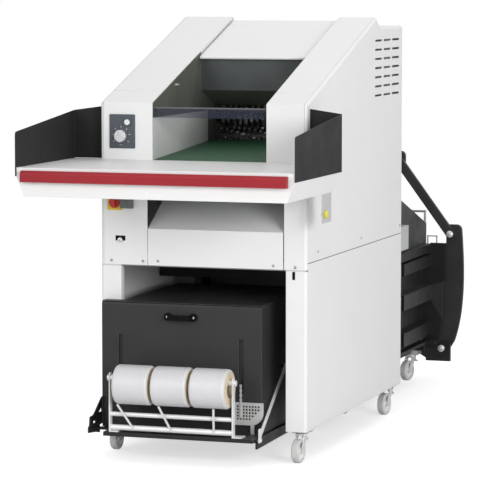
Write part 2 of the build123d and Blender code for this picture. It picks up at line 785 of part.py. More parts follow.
def fixed_fork(at_x, at_y):
    """Fork of a caster that does not swing, with plate and axle, under the frame."""
    cheek = [(at_y - 30, underframe_low_z - 4), (at_y + 30, underframe_low_z - 4),
             (at_y + 12, wheel_r - 10), (at_y - 12, wheel_r - 10)]
    for shift in (-fork_inner - fork_sheet, fork_inner):
        yz_prism(cheek, at_x + shift, at_x + shift + fork_sheet)
    reach = fork_inner + fork_sheet + 4
    rod((at_x - reach, at_y, wheel_r), (at_x + reach, at_y, wheel_r), axle_r)
    block(at_x - 34, at_x + 34, at_y - 40, at_y + 40, underframe_low_z - 5, underframe_low_z + 1)

hinge_xs = (channel_x(-pin_offset), channel_x(pin_offset))

with BuildPart() as press_channel:
    block(channel_x(-rib_out), channel_x(rib_out), channel_front_y, channel_rear_y, channel_low_z, floor_z)
    for side in (-1, 1):
        low_x, high_x = sorted((channel_x(side * channel_half), channel_x(side * wall_out)))
        block(low_x, high_x, channel_front_y, flap_hinge_y - 20, floor_z - 1, roof_z - seat_gap)
        for z_low, z_high in rib_levels:
            box_rib(side, channel_front_y, flap_hinge_y - 30, z_low, z_high)
    block(channel_x(-wall_out), channel_x(wall_out), channel_front_y, channel_front_y + 10, floor_z - 1,
          roof_z - seat_gap)
    rod((channel_mid, channel_front_y - 1, ram_axis_z), (channel_mid, channel_front_y + 12, ram_axis_z),
        ram_rod_r + 4, mode=Mode.SUBTRACT)
    for hinge_x in hinge_xs:
        rod((hinge_x, flap_hinge_y, channel_low_z - 1), (hinge_x, flap_hinge_y, floor_z + 1),
            hinge_pin_r + run_fit, mode=Mode.SUBTRACT)
save(press_channel.part, "press_channel")

# Roof of the channel with the opening below the chute, its edge profiles, two rear ears
# and a small bow handle on the right one
ear_out_x = 408
ear_front_y = 1536
ear_back_y = 1548
small_bow_xs = (312, 358)
small_bow_top_z = 721
small_bow_r = 3.5

with BuildPart() as channel_roof:
    block(channel_x(-rib_out), channel_x(rib_out), channel_front_y, channel_rear_y, roof_z, roof_z + 10)
    block(channel_x(-channel_half), channel_x(channel_half), chute_front_y, chute_rear_y, roof_z - 1,
          roof_z + 12, mode=Mode.SUBTRACT)
    for side in (-1, 1):
        low_x, high_x = sorted((channel_x(side * (rib_out - 30)), channel_x(side * rib_out)))
        block(low_x, high_x, channel_front_y, channel_rear_y, roof_z + 9, channel_top_z)
        low_x, high_x = sorted((channel_x(side * (rib_out - 2)), channel_x(side * (ear_out_x - channel_mid))))
        block(low_x, high_x, ear_front_y, ear_back_y, roof_z, channel_top_z + 4)
    small_bow_y = (ear_front_y + ear_back_y) / 2
    for bow_x in small_bow_xs:
        rod((bow_x, small_bow_y, channel_top_z - 8),
            (bow_x, small_bow_y, small_bow_top_z + small_bow_r + 0.5), small_bow_r)
    rod((small_bow_xs[0], small_bow_y, small_bow_top_z), (small_bow_xs[1], small_bow_y, small_bow_top_z),
        small_bow_r - 0.3)
    for hinge_x in hinge_xs:
        rod((hinge_x, flap_hinge_y, roof_z - 1), (hinge_x, flap_hinge_y, roof_z + 11),
            hinge_pin_r + run_fit, mode=Mode.SUBTRACT)
save(channel_roof.part, "channel_roof")

# Underframe with its fixed casters, the pads of its swivel casters, and the bracket plates
# that hold the lower pins of the yokes
underframe_top_z = channel_low_z - seat_gap

beam_in = 150
beam_out = 225
rear_beam_y = 1455
rear_beam_low_z = 152
rear_beam_half = channel_half + 40
bracket_in_x = 257
bracket_out_x = 425

with BuildPart() as channel_underframe:
    for side in (-1, 1):
        low_x, high_x = sorted((channel_x(side * beam_in), channel_x(side * beam_out)))
        block(low_x, high_x, channel_front_y + 20, rear_beam_y + 1, underframe_low_z, underframe_top_z)
    for beam_y in (channel_front_y + 20, fixed_caster_ys[1] - 35):
        block(channel_x(-beam_out), channel_x(beam_out), beam_y, beam_y + 70, underframe_low_z,
              underframe_top_z)
    block(channel_x(-rear_beam_half), channel_x(rear_beam_half), rear_beam_y, channel_rear_y,
          rear_beam_low_z, underframe_top_z)
    for side in (-1, 1):
        bracket_outline = [(bracket_in_x, 186), (bracket_in_x, 130), (bracket_in_x + 43, 104),
                           (bracket_in_x + 43, 90), (bracket_out_x, 90), (bracket_out_x, 186)]
        outline = [(channel_x(side * (x - channel_mid)), z) for x, z in bracket_outline]
        prism(Plane.XZ.offset(-link_back_y), outline, link_back_y - link_front_y)
        low_x, high_x = sorted((channel_x(side * 230), channel_x(side * rear_beam_half)))
        block(low_x, high_x, channel_rear_y - 1, link_front_y + 1, rear_beam_low_z + 2, channel_low_z - 2)
        pin_x = channel_x(side * (yoke_pin[0] - channel_mid))
        rod((pin_x, link_front_y, yoke_pin[1]), (pin_x, rear_limit_y, yoke_pin[1]), yoke_pin_r)
        rod((pin_x, head_y, yoke_pin[1]), (pin_x, link_front_y + 1, yoke_pin[1]), pin_head_r)
        rod((pin_x, yoke_back_y + 3, yoke_pin[1]), (pin_x, rear_limit_y, yoke_pin[1]), 18)
        # Pad and race of the swivel caster
        pad_x = channel_x(side * baler_swivel_x)
        block(pad_x - pad_half_y, pad_x + pad_half_y, baler_swivel_y - pad_half_y,
              baler_swivel_y + pad_half_y, stand_bottom_z, rear_beam_low_z + 1)
        rod((pad_x, baler_swivel_y, fork_top_z + seat_gap), (pad_x, baler_swivel_y, stand_bottom_z + 1),
            race_r)
        rod((pad_x, baler_swivel_y, fork_top_z - 1), (pad_x, baler_swivel_y, stand_bottom_z + 20),
            kingpin_r + run_fit, mode=Mode.SUBTRACT)
    for caster_y in fixed_caster_ys:
        for offset in (-fixed_caster_offset, fixed_caster_offset):
            fixed_fork(channel_x(offset), caster_y)
            add(wheel((channel_x(offset), caster_y, wheel_r), wheel_w, wheel_r, (1, 0, 0), axle_r - 0.5))
save(channel_underframe.part, "channel_underframe")

# Swinging side walls with their ribs and the lug that the yoke presses
lug_z = 437
lug_r = 46
lug_reach = 378
lug_root = channel_x(wall_out)
flange_front_y = 1536
flange_back_y = 1546
wing_low_z = floor_z + flap_gap
wing_top_z = roof_z - flap_gap
flap_flange = [(lug_root - 2, wing_low_z), (368, wing_low_z), (378, 230), (391, 300), (391, 468),
               (ear_out_x, 500), (ear_out_x, wing_top_z), (lug_root - 2, wing_top_z)]

with BuildPart() as squeeze_flap_right:
    block(channel_x(channel_half), channel_x(wall_out), flap_hinge_y + 4, channel_rear_y - 4, wing_low_z,
          wing_top_z)
    for z_low, z_high in rib_levels:
        box_rib(1, flap_hinge_y + 22, channel_rear_y - 10, z_low, min(z_high, wing_top_z))
    hinge_x = channel_x(pin_offset)
    rod((hinge_x, flap_hinge_y, wing_low_z), (hinge_x, flap_hinge_y, wing_top_z), 15)
    rod((hinge_x, flap_hinge_y, channel_low_z + 1), (hinge_x, flap_hinge_y, roof_z + 9), hinge_pin_r)
    prism(Plane.XZ.offset(-flange_back_y), flap_flange, flange_back_y - flange_front_y)
    block(channel_x(channel_half), hinge_x, flap_hinge_y + 4, flap_hinge_y + 14, wing_low_z, wing_top_z)
    box_rib(1, channel_rear_y - 12, yoke_front_y + 1, lug_z - lug_r, lug_z + lug_r)
    with BuildSketch(Plane.XZ.offset(-yoke_back_y)) as lug:
        with Locations((lug_reach - lug_r, lug_z)):
            Circle(lug_r)
        with Locations(((lug_root + lug_reach - lug_r) / 2, lug_z)):
            Rectangle(lug_reach - lug_r - lug_root, 2 * lug_r)
    extrude(lug.sketch, amount=yoke_back_y - yoke_front_y)
save(squeeze_flap_right.part, "squeeze_flap_right")

channel_middle = Plane.YZ.offset(channel_mid)
with BuildPart() as squeeze_flap_left:
    add(mirror(squeeze_flap_right.part, about=channel_middle))
save(squeeze_flap_left.part, "squeeze_flap_left")

# Yokes: curved plates on the lower pins, each with the pin of its link
yoke_inner = [(448, 777), (410, 777), (396, 763), (396, 560), (398, 500), (380, 468), (379, 300),
              (366, 230), (347, 165)]

with BuildPart() as yoke_right:
    with BuildSketch(Plane.XZ.offset(-yoke_back_y)) as yoke_outline:
        with BuildLine():
            outer = Spline((440, 190), (466, 290), (481, 415), (484, 560), (474, 752))
            ThreePointArc(outer @ 1, (465, 770), yoke_inner[0])
            Polyline(*yoke_inner)
            ThreePointArc(yoke_inner[-1], (375, 119), (416, 150))
            Line((416, 150), outer @ 0)
        make_face()
    extrude(yoke_outline.sketch, amount=yoke_back_y - yoke_front_y)
    rod((yoke_pin[0], yoke_front_y - 1, yoke_pin[1]), (yoke_pin[0], yoke_back_y + 1, yoke_pin[1]),
        yoke_pin_r + run_fit, mode=Mode.SUBTRACT)
    rod((yoke_top[0], head_y, yoke_top[1]), (yoke_top[0], yoke_front_y + 1, yoke_top[1]), link_pin_r)
    rod((yoke_top[0], head_y, yoke_top[1]), (yoke_top[0], head_y + 6, yoke_top[1]), pin_head_r)
    rod((yoke_top[0], yoke_back_y, yoke_top[1]), (yoke_top[0], yoke_back_y + 5, yoke_top[1]), pin_head_r)
save(yoke_right.part, "yoke_right")
with BuildPart() as yoke_left:
    add(mirror(yoke_right.part, about=channel_middle))
save(yoke_left.part, "yoke_left")

# Crosshead on the lifting rod, and the two pull links
cross_half_h = 38
squeeze_rod_r = 14
squeeze_y = (yoke_front_y + yoke_back_y) / 2
squeeze_bore_low_z = 715
squeeze_barrel_r = 28
squeeze_barrel_top_z = 960
link_w = 44

with BuildPart() as crosshead:
    with BuildSketch(Plane.XZ.offset(-yoke_back_y)) as head_outline:
        with Locations((channel_mid, cross_pin[1])):
            RectangleRounded(2 * (cross_pin[0] - channel_mid + 36), 2 * cross_half_h, 26)
    extrude(head_outline.sketch, amount=yoke_back_y - yoke_front_y)
    rod((channel_mid, squeeze_y, squeeze_bore_low_z + 10),
        (channel_mid, squeeze_y, cross_pin[1] - cross_half_h + 1), squeeze_rod_r)
    rod((channel_mid, squeeze_y, cross_pin[1] - cross_half_h - 22),
        (channel_mid, squeeze_y, cross_pin[1] - cross_half_h + 1), squeeze_rod_r + 8)
    for side in (-1, 1):
        pin_x = channel_x(side * (cross_pin[0] - channel_mid))
        rod((pin_x, head_y, cross_pin[1]), (pin_x, yoke_front_y + 1, cross_pin[1]), link_pin_r)
        rod((pin_x, head_y, cross_pin[1]), (pin_x, head_y + 6, cross_pin[1]), pin_head_r)
        rod((pin_x, yoke_back_y, cross_pin[1]), (pin_x, yoke_back_y + 5, cross_pin[1]), pin_head_r)
save(crosshead.part, "crosshead")

link_length = math.dist(cross_pin, yoke_top)
link_angle = math.degrees(math.atan2(yoke_top[1] - cross_pin[1], yoke_top[0] - cross_pin[0]))
link_middle = ((cross_pin[0] + yoke_top[0]) / 2, (cross_pin[1] + yoke_top[1]) / 2)

with BuildPart() as link_right:
    with BuildSketch(Plane.XZ.offset(-link_back_y)) as link_outline:
        with Locations(Location((*link_middle, 0), (0, 0, link_angle))):
            SlotCenterToCenter(link_length, link_w)
        with Locations(cross_pin):
            Circle(link_pin_r + run_fit, mode=Mode.SUBTRACT)
        with Locations(yoke_top):
            Circle(link_pin_r + open_pivot_gap, mode=Mode.SUBTRACT)
    extrude(link_outline.sketch, amount=link_back_y - link_front_y)
save(link_right.part, "link_right")
with BuildPart() as link_left:
    add(mirror(link_right.part, about=channel_middle))
save(link_left.part, "link_left")

# Top housing over the press, with the lifting cylinder, side box and bow handle
housing_left = channel_mid - 268
housing_right = channel_mid + 272
housing_front_y = 760
housing_crest_y = 980
housing_crest_z = 954
housing_rear_z = 775
housing_low_z = channel_top_z + seat_gap
edge_w = 20
edge_proud = 8
housing_points = [(housing_front_y, housing_low_z), (housing_front_y, housing_crest_z),
                  (housing_crest_y, housing_crest_z), (channel_rear_y, housing_rear_z),
                  (channel_rear_y, housing_low_z)]
inner_rear_z = housing_rear_z - sheet * 1.3
housing_hollow = [(housing_front_y + sheet, housing_low_z - 1),
                  (housing_front_y + sheet, housing_crest_z - sheet),
                  (housing_crest_y - 1, housing_crest_z - sheet), (channel_rear_y - sheet, inner_rear_z),
                  (channel_rear_y - sheet, housing_low_z - 1)]
edge_line = [(housing_crest_y - 60, housing_crest_z + edge_proud),
             (housing_crest_y, housing_crest_z + edge_proud),
             (channel_rear_y + edge_proud, housing_rear_z + edge_proud),
             (channel_rear_y + edge_proud, housing_low_z)]
bow_r = 6
bow_y = link_front_y - 2 - bow_r
bow_foot_z = housing_rear_z - 30
bow_top_z = 843

with BuildPart() as top_housing:
    yz_prism(housing_points, housing_left, housing_right)
    yz_prism(housing_hollow, housing_left + sheet, housing_right - sheet, mode=Mode.SUBTRACT)
    for wide, x_low, x_high in ((edge_w, housing_left, housing_left + sheet),
                                (edge_w, housing_right - sheet, housing_right),
                                (edge_proud + 1, housing_left, housing_left + edge_w),
                                (edge_proud + 1, housing_right - edge_w, housing_right)):
        yz_prism(band(edge_line, -wide), x_low, x_high)
    block(housing_right - 1, housing_right + 36, 930, 1075, 700, 815)
    rod((channel_mid, squeeze_y, housing_low_z), (channel_mid, squeeze_y, squeeze_barrel_top_z),
        squeeze_barrel_r)
    rod((channel_mid, squeeze_y, squeeze_barrel_top_z - 30), (channel_mid, squeeze_y, squeeze_barrel_top_z),
        squeeze_barrel_r + 3)
    block(channel_x(-40), channel_x(40), channel_rear_y - sheet, squeeze_y, housing_low_z,
          housing_low_z + 18)
    rod((channel_mid, squeeze_y, squeeze_bore_low_z), (channel_mid, squeeze_y, squeeze_barrel_top_z + 1),
        squeeze_rod_r + run_fit, mode=Mode.SUBTRACT)
    for leg_x in (channel_x(110), housing_right - 6):
        rod((leg_x, bow_y, bow_foot_z), (leg_x, bow_y, bow_top_z + bow_r), bow_r)
    rod((channel_x(110), bow_y, bow_top_z), (housing_right - 6, bow_y, bow_top_z), bow_r)
save(top_housing.part, "top_housing")

# Press ram with rod and piston, and its cylinder in front of the channel
ram_front_y = channel_front_y + 12
ram_t = 26
ram_clear = 1.5
piston_r = 48
piston_front_y = -975
piston_back_y = -945
barrel_r = 58
barrel_front_y = -1030
gland_t = 30
flange_r = 85

with BuildPart() as press_ram:
    block(channel_x(-channel_half + ram_clear), channel_x(channel_half - ram_clear), ram_front_y,
          ram_front_y + ram_t, floor_z + ram_clear, roof_z - ram_clear)
    # Upright grooves for the straps
    for groove_x in (-150, 0, 150):
        block(channel_x(groove_x - 9), channel_x(groove_x + 9), ram_front_y + ram_t - 12,
              ram_front_y + ram_t + 1, floor_z, roof_z, mode=Mode.SUBTRACT)
    rod((channel_mid, piston_back_y - 1, ram_axis_z), (channel_mid, ram_front_y + 1, ram_axis_z), ram_rod_r)
    rod((channel_mid, piston_front_y, ram_axis_z), (channel_mid, piston_back_y, ram_axis_z), piston_r)
save(press_ram.part, "press_ram")

with BuildPart() as ram_cylinder:
    flange_y = channel_front_y - seat_gap
    rod((channel_mid, barrel_front_y, ram_axis_z), (channel_mid, flange_y, ram_axis_z), barrel_r)
    rod((channel_mid, flange_y - 12, ram_axis_z), (channel_mid, flange_y, ram_axis_z), flange_r)
    rod((channel_mid, barrel_front_y + 14, ram_axis_z), (channel_mid, flange_y - gland_t, ram_axis_z),
        piston_r + run_fit, mode=Mode.SUBTRACT)
    rod((channel_mid, flange_y - gland_t - 1, ram_axis_z), (channel_mid, flange_y + 1, ram_axis_z),
        ram_rod_r + run_fit, mode=Mode.SUBTRACT)
save(ram_cylinder.part, "ram_cylinder")

# Dark feed chute between the machine and the channel
chute_half = 440
pan_front_y = -310
pan_rear_y = 110
pan_low_z = channel_top_z + seat_gap
chute_top_z = ring_low_z - seat_gap
neck_x = channel_half - 3
neck_front_y = chute_front_y + 3
neck_rear_y = chute_rear_y - 3
neck_low_z = roof_z + 4

with BuildPart() as feed_chute:
    block(-chute_half, chute_half, pan_front_y, pan_rear_y, pan_low_z, chute_top_z)
    block(-chute_half + sheet, chute_half - sheet, pan_front_y + sheet, pan_rear_y - sheet,
          pan_low_z + sheet, chute_top_z + 1, mode=Mode.SUBTRACT)
    block(channel_x(-neck_x), channel_x(neck_x), neck_front_y, neck_rear_y, neck_low_z, pan_low_z + sheet)
    block(channel_x(-neck_x + sheet), channel_x(neck_x - sheet), neck_front_y + sheet, neck_rear_y - sheet,
          neck_low_z - 1, pan_low_z + sheet + 1, mode=Mode.SUBTRACT)
save(feed_chute.part, "feed_chute")

# Front base: cross member, rails, shelf and left bracket with its stay
rail_right = 290
rail_left = -300
base_left = -442
rail_low_z = 75
rail_top_z = 120
flange_t = 8
flange_w = 60
cross_left = -366
cross_low_z = 101
cross_front_y = -1159
cross_rear_y = -1090
rail_rear_y = channel_front_y + 48
shelf_front_y = -1215
shelf_top_z = 125
cover_left = -429
cover_inner_left = -348
cover_right = 277
cover_front_y = -1059
cover_step_y = -1006
cover_rear_y = -326
cover_top_z = 656
cover_face_low_z = 249
foot_plate_y = -1052
bracket_t = 5
base_bolt_r = 7
stay_x = 297

with BuildPart() as base_frame:
    # Cross member, open to the rear and below
    block(cross_left, rail_right, cross_front_y, cross_front_y + 6, cross_low_z, rail_top_z)
    block(cross_left, rail_right, cross_front_y, cross_rear_y, rail_top_z - flange_t, rail_top_z)
    for web_x, flange_from, low_z in ((rail_right - flange_t, rail_right - flange_w, rail_low_z),
                                      (rail_left, rail_left - flange_w + flange_t, cross_low_z)):
        rail = [(cross_front_y + 1, low_z), (cross_front_y + 1, rail_top_z),
                (rail_rear_y, rail_top_z), (rail_rear_y, max(low_z, rail_low_z + 12))]
        yz_prism(rail, web_x, web_x + flange_t)
        block(flange_from, flange_from + flange_w, cross_rear_y - 1, rail_rear_y,
              rail_top_z - flange_t, rail_top_z)
    block(rail_left + 4, rail_right - 4, -781, -731, rail_top_z - 16, rail_top_z)
    block(rail_left + 4, rail_right - 4, channel_front_y + 4, rail_rear_y, rail_top_z - 16,
          underframe_low_z - seat_gap)
    shelf = band([(shelf_front_y, 108), (shelf_front_y, shelf_top_z), (cross_rear_y, shelf_top_z)], -5)
    yz_prism(shelf, cross_left, rail_right)
    # Dark plate behind the rolls that closes the foot of the cover
    block(cover_left + sheet + 1, cover_right - sheet - 1, foot_plate_y, foot_plate_y + sheet,
          rail_top_z - flange_t, cover_face_low_z + 13)
    # Left bracket with its openings
    bracket = [(-1183, 110), (-1183, 131), (-1169, 140), (-1164, 175), (-1123, 178), (-1029, 240),
               (-1008, 244), (-1008, 130), (-1054, 126), (-1054, 93), (-1101, 102)]
    yz_prism(bracket, base_left - bracket_t, base_left)
    for opening in ([(-1031, 202), (-1069, 180), (-1027, 179)], [(-1131, 142), (-1101, 142), (-1101, 152),
                    (-1131, 152)], [(-1090, 116), (-1060, 122), (-1063, 108)]):
        yz_prism(opening, base_left - bracket_t - 1, base_left + 1, mode=Mode.SUBTRACT)
    block(base_left - 1, rail_left, -1096, -1060, rail_top_z - flange_t, rail_top_z)
    # Bright stay on the right, up along the cover
    yz_prism(band([(-1164, 130), (-780, 400)], -19), stay_x, stay_x + 5)
    block(stay_x, stay_x + 5, -1164, -1136, 102, 160)
    rod((rail_right - 1, -1148, 112), (stay_x + 9, -1148, 112), base_bolt_r)
    rod((cover_right + seat_gap, -800, 373), (stay_x + 9, -800, 373), base_bolt_r)
    # Saddle under the press cylinder
    block(channel_x(-40), channel_x(40), -776, -736, rail_top_z - 10, ram_axis_z - barrel_r - seat_gap)
save(base_frame.part, "base_frame")

# Cover over the press cylinder, with strap slots
cover_slot_w = 21
cover_slots = (-344, 188)
cover_slot_low_z = 290
cover_slot_top_z = 515
cover_low_z = rail_top_z + seat_gap

with BuildPart() as front_cover:
    block(cover_inner_left, cover_right, cover_step_y - 1, cover_rear_y, cover_low_z, cover_top_z)
    block(cover_left, cover_right, cover_front_y, cover_step_y, cover_low_z, cover_top_z)
    front_edges = front_cover.edges().filter_by_position(Axis.Y, cover_front_y, cover_front_y)
    fillet(front_edges.filter_by(Axis.X).sort_by(Axis.Z)[-1], 14)
    block(cover_inner_left + sheet, cover_right - sheet, cover_front_y + sheet, cover_rear_y + 1,
          cover_low_z - 1, cover_top_z - sheet, mode=Mode.SUBTRACT)
    block(cover_left + sheet, cover_inner_left + sheet + 1, cover_front_y + sheet, cover_step_y - sheet,
          cover_low_z - 1, cover_top_z - sheet, mode=Mode.SUBTRACT)
    block(cover_left + sheet, cover_right - sheet, cover_front_y - 1, cover_front_y + sheet + 1,
          cover_low_z - 1, cover_face_low_z, mode=Mode.SUBTRACT)
    for slot_x in cover_slots:
        block(slot_x - cover_slot_w / 2, slot_x + cover_slot_w / 2, cover_front_y - 1,
              cover_front_y + sheet + 1, cover_slot_low_z, cover_slot_top_z, mode=Mode.SUBTRACT)
save(front_cover.part, "front_cover")

# Bow handle of the cover, with its two bolts
handle_x = -76
handle_z = 598
handle_half = 73
handle_reach = 34
handle_seat_y = cover_front_y - seat_gap
bow_foot = handle_half - 22
bow_top = handle_half - 32
boss_r = 17

with BuildPart() as cover_handle:
    bow = [(handle_x - bow_foot, handle_seat_y - 4), (handle_x - bow_top, cover_front_y - handle_reach),
           (handle_x + bow_top, cover_front_y - handle_reach), (handle_x + bow_foot, handle_seat_y - 4)]
    prism(Plane.XY.offset(handle_z - 12), band(bow, -9), 24)
    for side in (-1, 1):
        end_x = handle_x + side * (handle_half - boss_r)
        rod((end_x, handle_seat_y, handle_z), (end_x, handle_seat_y - 9, handle_z), boss_r)
        rod((end_x, handle_seat_y - 1, handle_z), (end_x, handle_seat_y - 13, handle_z), 6)
save(cover_handle.part, "cover_handle")

# Holder for the strapping rolls, with its guide tubes
roll_y = -1200
roll_z = 326
roll_r = 82.5
roll_w = 155
roll_pitch = 168.5
roll_first_x = -228.5
roll_bore_r = 38
roll_shaft_r = 12.5
arm_left = -341
arm_right = 204
arm_t = 6
arm_half = 13
arm_low_z = shelf_top_z + seat_gap
shaft_z = roll_z + roll_bore_r - roll_shaft_r - seat_gap
arm_profile = [(roll_y - arm_half, arm_low_z), (roll_y - arm_half, shaft_z + 14),
               (roll_y - arm_half + 6, shaft_z + 22), (roll_y + arm_half - 6, shaft_z + 22),
               (roll_y + arm_half, shaft_z + 14), (roll_y + arm_half, arm_low_z)]

with BuildPart() as roll_holder:
    yz_prism(arm_profile, arm_left, arm_left + arm_t)
    yz_prism(arm_profile, arm_right - arm_t, arm_right)
    block(arm_left, arm_left + 40, roll_y - arm_half, roll_y + 40, arm_low_z, arm_low_z + 5)
    block(arm_right - arm_t, arm_right + 36, roll_y - arm_half, roll_y + 40, arm_low_z, arm_low_z + 5)
    rod((arm_left - 8, roll_y, shaft_z), (arm_right + 10, roll_y, shaft_z), roll_shaft_r)
    rod((arm_left, roll_y, 200), (arm_right, roll_y, 200), 9.5)
    rod((arm_left, roll_y, 144), (arm_right - 2, roll_y, 144), 12)
save(roll_holder.part, "roll_holder")

for index in range(3):
    mid_x = roll_first_x + index * roll_pitch
    half = roll_w / 2
    roll_profile = [(mid_x - half, roll_y + roll_bore_r), (mid_x - half, roll_y + roll_r - 9),
                    (mid_x - half + 3, roll_y + roll_r - 3), (mid_x - half + 9, roll_y + roll_r),
                    (mid_x + half - 9, roll_y + roll_r), (mid_x + half - 3, roll_y + roll_r - 3),
                    (mid_x + half, roll_y + roll_r - 9), (mid_x + half, roll_y + roll_bore_r)]
    with BuildPart() as strap_roll:
        with BuildSketch(Plane.XY.offset(roll_z)) as roll_section:
            with BuildLine():
                Polyline(*roll_profile, close=True)
            make_face()
        revolve(roll_section.sketch, axis=Axis((mid_x, roll_y, roll_z), (1, 0, 0)))
    save(strap_roll.part, "strap_roll_" + str(index + 1))

# Perforated guard with the chain that hangs from the right slot
guard_left_x = 150
guard_right_x = 286
guard_low_z = 157
guard_top_z = 252
guard_face_y = cover_front_y - seat_gap
hole_pitch = 13
hole_size = 8
chain_x = 188
chain_top_z = 330
link_pitch = 10

with BuildPart() as chain_guard:
    block(guard_left_x, guard_right_x, guard_face_y - sheet, guard_face_y, guard_low_z, guard_top_z)
    low_edges = chain_guard.edges().filter_by(Axis.Y).group_by(Axis.Z)[0]
    fillet(low_edges.sort_by(Axis.X)[-1], 55)
    for column in range(8):
        for row in range(5):
            hole_x = guard_left_x + 24 + column * hole_pitch
            hole_z = guard_low_z + 26 + row * hole_pitch
            if column + 4 - row < 9:
                block(hole_x - hole_size / 2, hole_x + hole_size / 2, guard_face_y - sheet - 1,
                      guard_face_y + 1, hole_z - hole_size / 2, hole_z + hole_size / 2, mode=Mode.SUBTRACT)
    # Foot on the flange of the rail
    block(rail_right - flange_w, rail_right - flange_w + 16, guard_face_y - sheet, guard_face_y,
          rail_top_z + seat_gap, guard_low_z + 12)
    for index in range(int((chain_top_z - guard_low_z - 30) / link_pitch)):
        link_z = guard_low_z + 30 + index * link_pitch
        wide = 5 if index % 2 else 3
        block(chain_x - wide, chain_x + wide, guard_face_y - sheet - 4, guard_face_y - sheet + 0.5, link_z,
              link_z + link_pitch)
save(chain_guard.part, "chain_guard")

# Loose strap ends that run down from the rolls to the lower tube
strap_w = 9
strap_t = 1
strap_runs = (((-299, -1226, 244.5), (-233, -1212.9, 144.5)), ((-117, -1226, 244.5), (-67, -1212.9, 144.5)),
              ((123, -1226, 244.5), (120, -1212.9, 144.5)))

with BuildPart() as strap_ends:
    for start, end in strap_runs:
        run = Vector(*end) - Vector(*start)
        with BuildSketch(Plane(origin=start, x_dir=run.cross(Vector(0, 1, 0)), z_dir=run)) as strip:
            Rectangle(strap_w, strap_t)
        extrude(strip.sketch, amount=run.length)
save(strap_ends.part, "strap_ends")
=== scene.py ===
import json
import math

import bpy
import bmesh
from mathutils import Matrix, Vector


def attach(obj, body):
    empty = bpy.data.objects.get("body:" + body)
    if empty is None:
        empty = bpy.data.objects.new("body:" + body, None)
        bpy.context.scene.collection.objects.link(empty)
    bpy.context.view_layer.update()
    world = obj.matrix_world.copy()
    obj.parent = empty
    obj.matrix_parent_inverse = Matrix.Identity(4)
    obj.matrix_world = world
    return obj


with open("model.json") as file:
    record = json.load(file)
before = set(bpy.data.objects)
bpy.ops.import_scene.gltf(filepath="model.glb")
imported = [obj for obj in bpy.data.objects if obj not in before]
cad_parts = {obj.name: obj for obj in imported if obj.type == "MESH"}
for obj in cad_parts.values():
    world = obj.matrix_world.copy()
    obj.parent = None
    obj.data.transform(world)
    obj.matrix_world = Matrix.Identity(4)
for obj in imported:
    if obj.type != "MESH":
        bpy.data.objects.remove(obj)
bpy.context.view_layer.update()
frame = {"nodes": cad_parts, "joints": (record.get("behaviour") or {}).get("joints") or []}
nodes = frame["nodes"]
BASE = "machine"

# Places in the shared frame, in metres: X to the right seen from the table, Y to the rear, Z up
FRONT_Y = -1.0                                # face of the white front panels
PLATE_Y = -1.0043                             # face of the control plate
SIDE_X = 0.4535                               # faces of the side panels
REAR_Y = 0.497                                # face of the rear panel
CHANNEL_X = 0.028                             # middle of the baler channel and its linkage
BRACKET_FACE_X = 0.5534                       # end face of the bracket below the table
YELLOW_KNOB = (-1.078, 1.046)                 # Y and Z of the bracket's knob
SELECTOR = (-0.3605, PLATE_Y, 1.346)          # middle of the selector on the control plate
ROLL_AXIS = (0, -1.2, 0.326)                  # a point on the shaft of the strapping rolls
CUTTER_Y = -0.113                             # both cutting rollers
CUTTERS = (("cutter_roller_lower", 1.292), ("cutter_roller_upper", 1.390))
PIN_FACE_Y = 1.5502                               # front face of the linkage's pins
YOKE_PINS = {"right": (0.421, 0.731), "left": (-0.365, 0.731)}
HEAD_PINS = {"right": (0.145, 1.103), "left": (-0.089, 1.103)}
LOW_PINS = {"right": (0.381, 0.155), "left": (-0.325, 0.155)}
SIDES = ((1, "right"), (-1, "left"))
CASTER_RADIUS = 0.050
TREAD_RADIUS = 0.036                          # the tread of a caster wheel starts here


# Materials
def link(tree, start, end):
    tree.links.new(start, end)


def noise(tree, coords, scale, detail=3.0, stretch=None):
    source = coords
    if stretch:
        mapping = tree.nodes.new("ShaderNodeMapping")
        mapping.inputs["Scale"].default_value = stretch
        link(tree, coords, mapping.inputs["Vector"])
        source = mapping.outputs["Vector"]
    node = tree.nodes.new("ShaderNodeTexNoise")
    node.inputs["Scale"].default_value = scale
    node.inputs["Detail"].default_value = detail
    link(tree, source, node.inputs["Vector"])
    return node.outputs["Fac"]


def remap(tree, value, low, high, out_low, out_high):
    node = tree.nodes.new("ShaderNodeMapRange")
    node.inputs["From Min"].default_value = low
    node.inputs["From Max"].default_value = high
    node.inputs["To Min"].default_value = out_low
    node.inputs["To Max"].default_value = out_high
    link(tree, value, node.inputs["Value"])
    return node.outputs["Result"]


def blend_colour(tree, factor, first, second):
    node = tree.nodes.new("ShaderNodeMix")
    node.data_type = "RGBA"
    link(tree, factor, node.inputs[0])
    for value, socket in ((first, node.inputs[6]), (second, node.inputs[7])):
        if isinstance(value, tuple):
            socket.default_value = (*value, 1.0)
        else:
            link(tree, value, socket)
    return node.outputs[2]


FLOOR_TINT_TOP = 0.22                               # the tint near the floor fades out at this height
FLOOR_TINT_COLOUR = (0.42, 0.40, 0.37)
SOFT = 0.0005                                 # half width of the change between two paints


def shade(colour, amount):
    return tuple(min(1.0, max(0.0, c * amount)) for c in colour)


